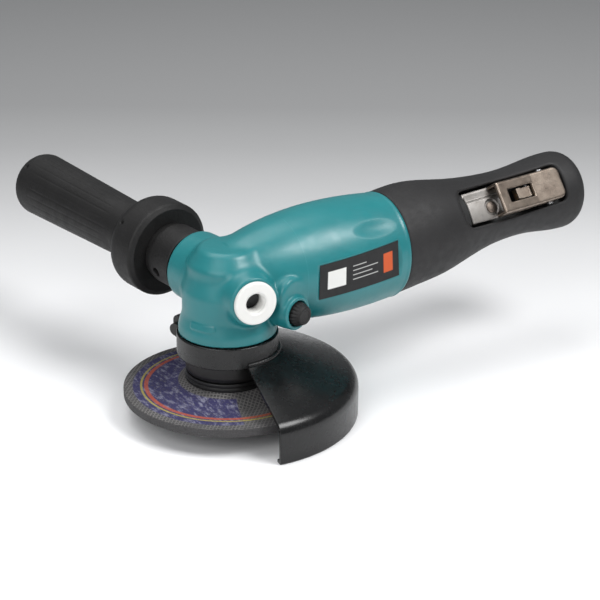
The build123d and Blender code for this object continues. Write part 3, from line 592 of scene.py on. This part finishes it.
def headField(x, y, z):
    # distance to each form in turn, joined by smoothMin, less a rod for each room inside
    r = np.hypot(x, y)
    rows = np.array(head["column"])
    columnR = sum(np.interp(z + lag, rows[:, 0], rows[:, 1]) for lag in head["soften"]) / len(head["soften"])
    solid = smoothMax((r - columnR) * head["columnScale"], z - head["top"], head["topEdge"])
    solid = np.maximum(solid, head["foot"] - z)
    a, b, along = fromFrame(motorAxis, x, y, z)
    swellR = np.polyval(head["swell"], along)  # meets the barrel in size and slope
    swell = np.maximum((np.hypot(a, b) - swellR) * head["swellScale"], -along)
    solid = smoothMin(solid, swell, head["rearBlend"])
    for axisSet, *cone in head["bosses"]:
        solid = smoothMin(solid, coneField(axisSet, x, y, z, *cone), head["bossBlend"])
    a, b, along = fromFrame(buttonAxis, x, y, z)
    inner = -head["lockDepth"] - along
    tall = np.hypot(a - np.clip(a, 0, head["flankTall"]), b) - head["lockR"]
    flank = np.maximum(smoothMax(tall, along + head["flankBack"], head["flankEdge"]), inner)
    boss = np.maximum(smoothMax(np.hypot(a, b) - head["lockR"], along, head["lockEdge"]), inner)
    solid = smoothMin(solid, smoothMin(flank, boss, head["flankBlend"]), head["lockBlend"])
    arc = r * (np.arctan2(y, x) % (2 * pi) - radians(head["barAt"]))
    bar = np.hypot(np.maximum(np.abs(arc) - head["barHalf"], 0), z - head["barZ"]) - head["barR"]
    solid = smoothMin(solid, np.maximum(bar, np.abs(r - columnR) - head["barRaise"]), head["barBlend"])
    solid = np.maximum(solid, x - head["rear"])
    for axisSet, *rod in head["rooms"]:
        solid = np.maximum(solid, -rodField(axisSet, x, y, z, *rod))
    return solid


castPiece("headCasting", headField, head, "housing", "teal_paint", ("gear_head",))


# Barrel: its radius follows a cubic along the motor axis, with a thumb dip by the grip and the plate's flat

barrel = dict(
    front=34.0, end=101.7, bore=25.0, rows=((34.0, 29.4), (46.0, 31.0), (74.0, 32.0), (101.7, 30.0)),
    overlap=0.8, overlapLift=0.03, step=0.6, endRound=0.8, endRun=0.9, beadAt=100.2, bead=0.4, beadWide=0.9,
    dipAt=80.5, dipLong=15.5, dipWide=6.0, dipDepth=1.15, dipRoll=42.0, dipR=31.5, dipFall=1.6)
plate = dict(
    front=40.8, rear=93.0, middle=67.0, rise=1.0, half=10.0, tilt=0.075, thick=0.35, sunk=0.3, margin=0.8,
    ease=1.6, beyond=1.92, leastR=29.0)


def barrelRadius(x):
    # cubic through the four (place, radius) rows
    rows = np.array(barrel["rows"])
    return np.polyval(np.polyfit(rows[:, 0], rows[:, 1], 3), x)


def plateChord(x, radius):
    # flat across the flank: the angle of its normal and half its span, from where it leaves the round
    rise = plate["rise"] + plate["tilt"] * (x - plate["middle"])
    low, high = (np.arcsin((rise + side * (plate["half"] + plate["margin"])) / radius) for side in (-1, 1))
    return (low + high) / 2, (high - low) / 2


def barrelSkin(radius, height, angle):
    # dip: a smooth bowl over an ellipse drawn on the skin; bead: a bell curve; flat: none beyond the chord
    turn = nearTurn(angle + radians(barrel["dipRoll"]))
    across = barrel["dipR"] * turn / barrel["dipWide"]
    out = ((height - barrel["dipAt"]) / barrel["dipLong"]) ** 2 + across ** 2
    dip = barrel["dipDepth"] * np.clip(1 - out, 0, 1) ** barrel["dipFall"]
    bead = barrel["bead"] * np.exp(-((height - barrel["beadAt"]) / barrel["beadWide"]) ** 2)
    skin = np.maximum(radius, plate["leastR"])
    lean, spread = plateChord(height, skin)
    off = np.clip(nearTurn(-angle - lean), -spread, spread)
    inside = np.minimum(height - plate["front"], plate["rear"] - height)
    near = np.clip((inside + plate["beyond"]) / plate["ease"], 0, 1)
    flat = near ** 2 * (3 - 2 * near) * skin * (1 - np.cos(spread) / np.cos(off))
    return np.where(radius > barrel["bore"] + 1, radius - dip + bead - flat, radius)


front, end, bore = barrel["front"], barrel["end"], barrel["bore"]
along = np.linspace(front - barrel["overlap"], end - barrel["endRun"], 130)  # its front laps the casting
skin = np.stack([barrelRadius(along) + barrel["overlapLift"] * (along < front), along], -1)
lip = roundedOutline(
    [(*skin[-1], 0), (barrelRadius(end), end, barrel["endRound"]), (bore, end, 0)], closed=False)
inner = np.array([(bore, front), (barrelRadius(front) - barrel["step"], front)])
turnedPiece("motorBarrel", np.vstack([skin, lip[1:], inner]), motorAxis, "housing", "teal_paint",
            ("motor_housing",), 480, shift=barrelSkin)
print("barrel done")


# Rubber grip: round sections along a rising centre line, a rounded end, and the lever's slot through its wall

grip = dict(
    step=0.8, low=(101, -31, 35), high=(240, 31, 100), front=101.7, end=239.5, coreEnd=234.5, wall=4.0,
    lip=2.2, frontRound=1.0, endRound=10.5, sideScale=0.97, inletR=12.0, inletDepth=30.0, inletEdge=1.0,
    rise=((101.7, 0.4), (121, 2.9), (136, 3.4), (150, 4.3), (173, 6.6), (187, 7.6), (203, 8.7), (221, 9.2),
          (239.5, 9.5)),
    radius=((101.7, 30.0), (121, 29.64), (136, 27.9), (150, 25.1), (173, 21.3), (187, 20.4), (203, 21.0),
            (221, 23.0), (239.5, 23.1)),
    slotFront=-38.7, slotRear=32.2, slotHalf=11.2, slotCorner=3.0, scoop=0.8, scoopFrom=16.5, scoopMost=9.0,
    floor=8.0, rearFloor=12.5, floorStep=15.0)


def slotField(x, y, z):
    # rounded rectangle in the slot's own plane, above its stepped floor, with its front end leaning outwards
    u, v, w = fromFrame(slotAxis, x, y, z)
    front = grip["slotFront"] - grip["scoop"] * np.clip(w - grip["scoopFrom"], 0, grip["scoopMost"])
    flat = rectangleField(u, front, grip["slotRear"], v, grip["slotHalf"], grip["slotCorner"])
    bottom = np.where(u < grip["floorStep"], grip["floor"], grip["rearFloor"])
    return np.maximum(flat, bottom - w)


def gripField(x, y, z):
    # distance from the centre line less the radius there, cut at both ends, less the core, slot and inlet
    at = np.clip(x, grip["front"], grip["end"])
    r = np.hypot(y, z - place["motorZ"] - smoothThrough(grip["rise"], at))
    size = smoothThrough(grip["radius"], at)
    solid = smoothMax((r - size) * grip["sideScale"], x - grip["end"], grip["endRound"])
    solid = smoothMax(solid, grip["front"] - x, grip["frontRound"])
    core = np.maximum(np.maximum(r - size + grip["wall"], x - grip["coreEnd"]), -x)
    solid = smoothMax(np.maximum(solid, -core), -slotField(x, y, z), grip["lip"])
    inlet = rodField(inletAxis, x, y, z, grip["inletR"], -grip["inletDepth"], 10)
    return smoothMax(solid, -inlet, grip["inletEdge"])


castPiece("rubberGrip", gripField, grip, "housing", "grip_rubber", ("rear_grip",))


# Side handle: a flared hand stop, a slightly swelling grip with shallow flutes, a domed end, two small holes

handle = dict(
    start=56.0, discEnd=80.0, discR=27.3, rootR=16.4, endR=19.3, end=188.8, bore=5.1, boreEnd=96.0, flutes=24,
    fluteDepth=0.16, fluteInset=14.0, fluteFade=8.0, fluteSharp=8,
    holes=((71.6, 309.0, 0.95), (180.6, 320.0, 0.9)), holeDepth=2.0)
h = handle
outline = roundedOutline([
    (0.0, h["boreEnd"], 0), (h["bore"], h["boreEnd"], 0.3), (h["bore"], h["start"], 0.4),
    (h["discR"] - 3.0, h["start"], 1.2), (h["discR"], h["start"] + 2.0, 1.8),
    (h["discR"], h["discEnd"] - 3.5, 9.0), (h["rootR"] + 0.2, h["discEnd"] + 1.5, 6.0),
    (h["rootR"], h["discEnd"] + 12, 20.0), (h["endR"], h["end"], 9.0), (2.0, h["end"], 0),
    (0.0, h["end"], 0)], steps=10, closed=False)
outline = finer(finer(outline, 1.3), 0.4, [spot[0] for spot in h["holes"]])


def handleSkin(radius, height, angle):
    # flutes: a sharpened cosine round the grip that fades out at its ends; holes: (place, turn, size) pits
    first, last = h["discEnd"] + h["fluteInset"], h["end"] - h["fluteInset"]
    fade = np.clip((height - first) / h["fluteFade"], 0, 1)
    fade = fade * np.clip((last - height) / h["fluteFade"], 0, 1)
    line = (0.5 + 0.5 * np.cos(h["flutes"] * angle)) ** h["fluteSharp"]
    skin = radius - h["fluteDepth"] * line * fade
    for at, turn, size in h["holes"]:
        away = np.hypot(height - at, radius * nearTurn(angle - radians(turn))) / size
        skin = skin - h["holeDepth"] * np.clip(1.6 - away, 0, 1)
    return np.where(radius > h["bore"] + 1, skin, radius)


turnedPiece("sideHandle", outline, handleAxis, "housing", "handle_plastic", ("side_handle",), 320, False,
            handleSkin)
print("handle done")


# Lock collar: a ring with a narrower waist by the handle and a spanner hole drilled into its rim

collar = dict(
    step=0.5, low=(-24, 31, 45), high=(18, 61, 86), start=35.4, waistAt=52.0, end=56.0, size=17.4, waist=16.4,
    bore=5.1, edge=0.7, holeAt=46.0, holeTurn=252.0, holeR=2.6, holeFloor=10.4, holeEdge=0.6)


def collarField(x, y, z):
    # distance to the ring and the waist, less the bore and a rod aimed at the axis
    a, b, along = fromFrame(handleAxis, x, y, z)
    r = np.hypot(a, b)
    ring = smoothMax(r - collar["size"], along - collar["waistAt"], collar["edge"])
    ring = smoothMax(ring, collar["start"] - along, collar["edge"])
    neck = rodField(handleAxis, x, y, z, collar["waist"], collar["start"], collar["end"])
    solid = np.maximum(np.minimum(ring, neck), collar["bore"] - r)
    turn = radians(collar["holeTurn"])
    across = b * cos(turn) - a * sin(turn)
    deep = collar["holeFloor"] - a * cos(turn) - b * sin(turn)
    hole = np.maximum(np.hypot(across, along - collar["holeAt"]) - collar["holeR"], deep)
    return smoothMax(solid, -hole, collar["holeEdge"])


castPiece("lockCollar", collarField, collar, "housing", "handle_plastic", ("handle_lock_collar",))


# Grinding wheel, its black flange and the bearing cap above them; each corner is (radius, height, rounding)

wheel = dict(corners=(
    (11.1, 4.6, 0.3), (24, 4.6, 2), (34, 0, 3), (57.5, 0, 0.5), (57.5, 4.8, 0.6), (34, 4.8, 3), (24, 9.6, 2),
    (11.1, 9.6, 0.3)))
flange = dict(corners=(
    (7, 4.6, 0.2), (11.08, 4.6, 0.3), (11.08, 9.6, 0.2), (23.5, 9.6, 0.5), (23.5, 11.4, 0.4),
    (22.8, 11.9, 0.4), (23.3, 12.5, 0.4), (23.3, 14.2, 0.6), (7, 14.2, 0.2)))
cap = dict(corners=(
    (10.4, 14.6, 0.2), (22.6, 14.6, 0.8), (23.3, 17.0, 0.5), (23.3, 23.2, 0.6), (25.5, 24, 0.6),
    (25.5, 37.5, 0.3), (22.3, 37.5, 0.2), (22.3, 43.5, 0.3), (17.5, 43.5, 0.2), (17.5, 26, 0.2),
    (14, 26, 0.2), (14, 21, 0.2), (10.4, 21, 0.2)))
for name, piece, body, slotName, node, count in (
        ("depressedWheel", wheel, "spindle", "abrasive", "grinding_wheel", 256),
        ("wheelFlange", flange, "spindle", "black_oxide", "inner_flange", 192),
        ("bearingCap", cap, "housing", "black_oxide", "bearing_cap", 192)):
    turnedPiece(name, roundedOutline(piece["corners"]), spindleAxis, body, slotName, (node,), count)
print("wheel and cap done")


# Wheel guard: a section with a rounded shoulder and a turned-in lip, carried half round the spindle

guard = dict(
    front=-99.0, sweep=180.0, r=72.0, wall=2.0, bottom=-11.8, lip=4.5, corner=9.6, shoulder=8.0,
    plateTop=26.6, bandIn=25.9, bandOut=27.9, bandLow=24.6, bandTop=36.9, earAt=111.0, split=2.4,
    earThick=3.0, earReach=7.0, earTop=38.4, weldR=1.35, ripple=0.12, ripples=90)


def tubeFaces(grid):
    # closed sections side by side, with a flat face at each end
    points, faces = gridFaces(grid, True, False)
    rows, cols = grid.shape[:2]
    ring = np.arange(rows) * cols
    return points, faces + [ring.tolist(), (ring + cols - 1)[::-1].tolist()]


def sweepFaces(outline, angles):
    # section of (radius, height) points carried round z
    return tubeFaces(roundAxis(outline[:, :1], outline[:, 1:], angles))


def prismFaces(outline, low, high):
    # flat outline (a, b) given a thickness along the second axis
    a, b = outline.T
    return tubeFaces(np.stack([np.stack([a, 0 * a + side, b], -1) for side in (low, high)], 1))


def arcOf(first, last, count):
    # a row of angles in radians, from first to last in degrees
    return np.radians(np.linspace(first, last, count))[None, :]


def guardPiece(name, points, faces, bevel, replaced=()):
    # painted sheet whose sharp edges are broken by a small bevel
    edge = addPiece(name, points, faces, "guard", "guard_paint", replaced).modifiers.new("edge", "BEVEL")
    edge.width = bevel * mm
    edge.segments = 2
    edge.limit_method = "ANGLE"
    edge.angle_limit = radians(50)
    edge.harden_normals = True


g = guard
inR, lipR, joinR = g["r"] - g["wall"], g["r"] - g["lip"], g["bandOut"] - 0.02
skirt = roundedOutline([
    (lipR, g["bottom"], 0.6), (g["r"], g["bottom"], 1.2), (g["r"], g["corner"], g["shoulder"]),
    (joinR, g["plateTop"], 0.3), (joinR, g["plateTop"] - g["wall"], 0.3),
    (inR, g["corner"] - g["wall"], g["shoulder"] - g["wall"]), (inR, g["bottom"] + g["wall"], 0.8),
    (lipR, g["bottom"] + g["wall"], 0.6)], steps=8)
rear = g["front"] + g["sweep"]
guardPiece("guardSkirt", *sweepFaces(skirt, arcOf(g["front"], rear, 180)), 0.5, ("wheel_guard",))

halfSplit = degrees(g["split"] / 2 / g["bandOut"])
band = roundedOutline([(g["bandIn"], g["bandLow"], 0.3), (g["bandOut"], g["bandLow"], 0.5),
                       (g["bandOut"], g["bandTop"], 0.7), (g["bandIn"], g["bandTop"], 0.4)])
bandArc = arcOf(g["earAt"] + halfSplit, g["earAt"] + 360 - halfSplit, 240)
guardPiece("guardBand", *sweepFaces(band, bandArc), 0.3)

earTurn = radians(g["earAt"])
earAxis = axisFrame((0, 0, 0), (0, 0, 1), (cos(earTurn), sin(earTurn), 0))
rootR, tipR = g["bandOut"] - 0.9, g["bandOut"] + g["earReach"]
earLow, rootTop = g["bandLow"] + 0.4, g["bandTop"] - 0.3
ear = roundedOutline([(rootR, earLow, 0.3), (tipR, earLow, 2.5), (tipR, g["earTop"], 3.0),
                      (rootR + 0.4, g["earTop"], 1.0), (rootR + 0.4, rootTop, 0.2), (rootR, rootTop, 0.2)])
for side, name in ((1, "guardEarLeft"), (-1, "guardEarRight")):
    low, high = sorted((side * g["split"] / 2, side * (g["split"] / 2 + g["earThick"])))
    points, faces = prismFaces(ear, low, high)
    guardPiece(name, toFrame(earAxis, points), faces, 0.4)

# weld bead between plate and band: a thin ring whose thickness ripples
angles = arcOf(g["front"] + 1, rear - 1, 240)
around = np.linspace(0, 2 * pi, 14, endpoint=False)[:, None]
thick = g["weldR"] + g["ripple"] * np.sin(angles * g["ripples"])
beadR = g["bandOut"] + 0.1 + thick * np.cos(around)
beadZ = g["plateTop"] + 0.1 + thick * np.sin(around)
grid = roundAxis(beadR, beadZ, angles)
addPiece("guardWeld", *gridFaces(grid.transpose(1, 0, 2), False, True, True), "guard", "guard_paint")
print("guard done")


# Threaded pieces: the bore's radius rises and falls along a helix

insert = dict(bore=5.1, low=23.0, high=31.8, pitch=1.75, depth=0.75, corners=(
    (5.1, 23.0, 0), (9.0, 23.0, 0.3), (9.0, 30.0, 0.2), (11.9, 30.0, 0.3), (11.9, 32.4, 0.9),
    (6.6, 32.4, 0.5), (5.6, 31.8, 0)))
bush = dict(bore=7.35, low=-22.0, high=-0.6, pitch=1.41, depth=0.6, corners=(
    (7.35, -22.0, 0), (10.38, -22.0, 0.3), (10.38, -5.0, 0.2), (11.98, -5.0, 0.3), (11.98, 0, 0.5),
    (8.6, 0, 0.4), (7.9, -0.6, 0)))
# drill-point floor of the socket's bore, made black: painted shade where the deep hole lies in shadow
socketShadeFloor = dict(corners=(
    (0, 23.1, 0), (2.0, 23.3, 0), (4.9, 24.2, 0), (4.9, 22.6, 0), (1.0, 22.4, 0), (0, 22.4, 0)))


def threadedPiece(name, axisSet, slotName, replaced, bore, low, high, pitch, depth, corners):
    rows = np.linspace(high - 0.3, low + 0.3, int((high - low) / pitch * 12))
    inside = np.stack([0 * rows + bore, rows], -1)
    outline = np.vstack([inside, roundedOutline(corners, closed=False)])

    def thread(radius, height, angle):
        # a cosine that moves on by one pitch each turn and runs out at the mouth
        wave = 0.5 + 0.5 * np.cos(2 * pi * height / pitch - angle)
        fade = np.clip((high - height) / pitch, 0, 1)
        return np.where(radius < bore + 0.01, radius + depth * wave * fade + 0.5 * depth * (1 - fade), radius)

    turnedPiece(name, outline, axisSet, "housing", slotName, replaced, 96, shift=thread)


threadedPiece("socketInsert", socketAxis, "white_nylon", ("left_handle_insert",), **insert)
threadedPiece("inletBush", inletAxis, "steel", ("inlet_bush",), **bush)
# painted shade: the bore's floor in black so that the hole reads dark
outline = roundedOutline(socketShadeFloor["corners"], closed=False)
turnedPiece("socketShadeFloor", outline, socketAxis, "housing", "black_oxide", (), 64, False)


# Lock button: eighteen round ribs that run out on its cone, and a shallow dish in its face

button = dict(
    r=6.1, low=-2.0, shoulder=1.2, faceR=4.9, top=5.2, dish=0.4, dishR=3.2, rim=1.2, ribs=18, ribR=0.6)


def buttonRibs(radius, height, angle):
    # ribs: a rounded wave round the rim that fades out towards the face
    rim = np.clip((radius - button["faceR"] - 0.1) / 0.9, 0, 1)
    rim = rim * np.clip((button["top"] - 0.4 - height) / 0.6, 0, 1)
    return radius + button["ribR"] * rim * np.abs(np.cos(button["ribs"] / 2 * angle)) ** 0.7 - 0.1 * rim


b = button
dishAt = b["top"] - b["dish"]
outline = roundedOutline([
    (0, b["low"], 0), (b["r"], b["low"], 0.4), (b["r"], b["shoulder"], 1.0), (b["faceR"], b["top"], 0.8),
    (b["faceR"] - b["rim"], b["top"], 0.3), (b["dishR"], dishAt, 0.3), (1.0, dishAt, 0), (0, dishAt, 0)],
    steps=6, closed=False)
turnedPiece("ribbedButton", finer(outline, 0.5), buttonAxis, "button", "handle_plastic", ("lock_button",),
            288, False, buttonRibs)
print("threads and button done")


# Dark plate on the barrel's flat: a grid over the chord, raised by the plate's thickness

px, pt = np.meshgrid(np.linspace(0, 1, 90), np.linspace(0, 1, 40), indexing="ij")
plateX = plate["front"] + (plate["rear"] - plate["front"]) * px
across = plate["half"] * (2 * pt - 1)
lean, spread = plateChord(plateX, barrelRadius(plateX))
layers = []
for lift in (plate["thick"], -plate["sunk"]):
    depth = barrelRadius(plateX) * np.cos(spread) + lift
    plateY = across * np.sin(lean) - depth * np.cos(lean)
    plateZ = place["motorZ"] + across * np.cos(lean) + depth * np.sin(lean)
    layers.append(np.stack([plateX, plateY, plateZ], -1))
uv = np.tile(np.stack([px, pt], -1).reshape(-1, 2), (2, 1))
addPiece("flankPlate", *slabFaces(*layers), "housing", "handle_plastic", uv=uv, own=flankPrint())
print("plate done")


# Throttle lever: a pressed channel whose front bends up, with a window; its field lies in the slot's own axes

lever = dict(
    step=0.4, low=(-19.5, -10.4, 13.2), high=(31, 10.4, 27.6), front=-18.5, rear=30.0, half=9.5, top=23.5,
    bottom=14.0, wall=1.6, skin=2.0, edge=1.3, nose=4.0, noseFrom=10.0, corner=0.6, lift=0.11, bend=9.0,
    window=(-11.5, 8.0), windowHalf=4.0, windowCorner=0.8, windowEdge=0.5)


def leverField(u, v, w):
    # rounded slab less the channel's room and the window, with w sheared upwards in front of the bend
    w = w - lever["lift"] * np.maximum(lever["bend"] - u, 0)
    corner = np.where(u > lever["noseFrom"], lever["nose"], lever["corner"])
    flat = rectangleField(u, lever["front"], lever["rear"], v, lever["half"], corner)
    shell = np.maximum(smoothMax(flat, w - lever["top"], lever["edge"]), lever["bottom"] - w)
    under = np.maximum(u - lever["rear"] + lever["nose"], w - lever["top"] + lever["skin"])
    room = np.maximum(np.abs(v) - lever["half"] + lever["wall"], under)
    window = rectangleField(u, *lever["window"], v, lever["windowHalf"], lever["windowCorner"])
    return smoothMax(np.maximum(shell, -room), -window, lever["windowEdge"])


castPiece("leverChannel", leverField, lever, "lever", "nickel_plate", ("throttle_lever",), slotAxis)

# Front plate of the lever: a crowned sheet with a sloping upper edge, a fine groove and a dip for the rivet
pad = dict(
    front=-36.8, rear=-12.0, half=9.4, top=18.3, bottom=16.05, crown=0.006, groove=4.0, grooveDepth=0.45,
    grooveWide=0.4, slope=0.34, fall=0.7, frontFall=1.0, sideFall=0.9, rivetAt=(-20.6, -2.4), rivetR=3.4,
    dip=0.9, dipBeyond=1.4, dipEdge=0.5, least=0.3)
rivet = dict(low=16.6, shoulder=18.2, top=18.9, flatR=1.0)
pu, pv = np.meshgrid(
    np.linspace(pad["front"], pad["rear"], 110), np.linspace(-pad["half"], pad["half"], 90), indexing="ij")
past = pv - pad["groove"]
padTop = pad["top"] - pad["crown"] * pv ** 2 - pad["slope"] * np.maximum(past, 0)
padTop = padTop - pad["grooveDepth"] * np.exp(-(past / pad["grooveWide"]) ** 2)
for inside, width in ((pu - pad["front"], pad["frontFall"]), (pad["half"] - np.abs(pv), pad["sideFall"])):
    padTop = padTop - pad["fall"] * np.clip(1 - inside / width, 0, 1) ** 2
fromRivet = np.hypot(pu - pad["rivetAt"][0], pv - pad["rivetAt"][1])
dip = pad["dip"] * np.clip((pad["rivetR"] + pad["dipBeyond"] - fromRivet) / pad["dipEdge"], 0, 1)
padTop = np.maximum(padTop - dip, pad["bottom"] + pad["least"])
points, faces = slabFaces(np.stack([pu, pv, padTop], -1), np.stack([pu, pv, 0 * pu + pad["bottom"]], -1))
addPiece("leverPlate", toFrame(slotAxis, points), faces, "lever", "nickel_plate", ("lever_pad",),
         own=platedMetal("satinPlate", (0.33, 0.315, 0.30), (0.24, 0.225, 0.21), 0.44, 90.0))
rivetAxis = axisFrame(toFrame(slotAxis, [(*pad["rivetAt"], 0)])[0], slotOut, (0, 0, 1))
outline = roundedOutline([
    (0, rivet["low"], 0), (pad["rivetR"], rivet["low"], 0.1), (pad["rivetR"], rivet["shoulder"], 0.9),
    (rivet["flatR"], rivet["top"], 0), (0, rivet["top"], 0)], closed=False)
turnedPiece("plateRivet", outline, rivetAxis, "lever", "steel", (), 64, False,
            own=platedMetal("dullRivet", (0.24, 0.20, 0.17), (0.12, 0.10, 0.085), 0.5, 220.0))
print("lever done")


# Camera at the photograph's place

camera = dict(
    place=(-0.44255, -0.73712, 0.41154), lens=103.17, sensor=36.0, near=0.05, far=50.0,
    right=(0.834684, -0.550673, 0.007832), up=(0.205346, 0.324385, 0.923367),
    back=(-0.511015, -0.769112, 0.383838))
cam = addObject("camera", bpy.data.cameras.new("camera"))
cam.data.lens = camera["lens"]
cam.data.sensor_width = camera["sensor"]
cam.data.clip_start = camera["near"]
cam.data.clip_end = camera["far"]
axes = Matrix((camera["right"], camera["up"], camera["back"])).transposed()
cam.matrix_world = Matrix.Translation(camera["place"]) @ axes.to_4x4()
scene.camera = cam


# Floor, background and soft light; the floor's painted shade darkens it away from the camera, given as
# (metres away from the camera's side, grey)

stage = dict(
    worldColour=(0.93, 0.97, 1.0), worldStrength=0.24, floorSize=6.0, away=(0.5535, 0.8330, 0.0), blue=1.01,
    paintedShades=((0.0, 0.95), (0.08, 0.85), (0.16, 0.74), (0.25, 0.64), (0.35, 0.51), (0.48, 0.385), (0.60, 0.32)))
lamps = dict(
    keyLight=dict(place=(0.45, -0.62, 1.05), aim=(0.06, 0, 0.04), size=(0.62, 0.5), power=12.5),
    topLight=dict(place=(-0.1, 0.35, 1.25), aim=(0.06, 0, 0.05), size=(1.2, 0.8), power=9.0),
    fillLight=dict(place=(-0.95, -0.55, 0.75), aim=(0.04, 0, 0.04), size=(0.9, 0.9), power=7.0))
half = stage["floorSize"]
corners = [(x * half, y * half, cadBox[0].z) for x, y in ((-1, -1), (1, -1), (1, 1), (-1, 1))]
floorMesh = bpy.data.meshes.new("floor")
floorMesh.from_pydata(corners, [], [(0, 1, 2, 3)])
floor = addObject("floor", floorMesh)
floorMat, tree, shader = newMaterial("paleFloor", (0.8, 0.8, 0.8), 0.9)
distance = addNode(tree, "VectorMath")
distance.operation = "DOT_PRODUCT"
for slot, value in zip(distance.inputs, (objectPoint(tree), stage["away"])):
    feed(tree, slot, value)
# painted shade: the floor's colour greys with distance from the camera's side, standing in for light that
# falls off
fade = addNode(tree, "ValToRGB", Fac=distance.outputs["Value"])
stops = fade.color_ramp.elements
for at, _ in stage["paintedShades"][2:]:
    stops.new(at)
for stop, (at, shade) in zip(stops, stage["paintedShades"]):
    stop.position = at
    stop.color = (shade, shade, shade * stage["blue"], 1.0)
tree.links.new(fade.outputs["Color"], shader.inputs["Base Color"])
floorMesh.materials.append(floorMat)

world = bpy.data.worlds.new("studio")
world.use_nodes = True
scene.world = world
glow = world.node_tree.nodes["Background"].inputs
glow["Color"].default_value = (*stage["worldColour"], 1.0)
glow["Strength"].default_value = stage["worldStrength"]

for name, values in lamps.items():
    data = bpy.data.lights.new(name, "AREA")
    data.shape = "RECTANGLE"
    data.size, data.size_y = values["size"]
    data.energy = values["power"]
    lamp = addObject(name, data)
    lamp.location = values["place"]
    sight = Vector(values["aim"]) - Vector(values["place"])
    lamp.rotation_euler = sight.to_track_quat("-Z", "Y").to_euler()
print("camera, floor and light set")

scene.view_settings.view_transform = "Standard"
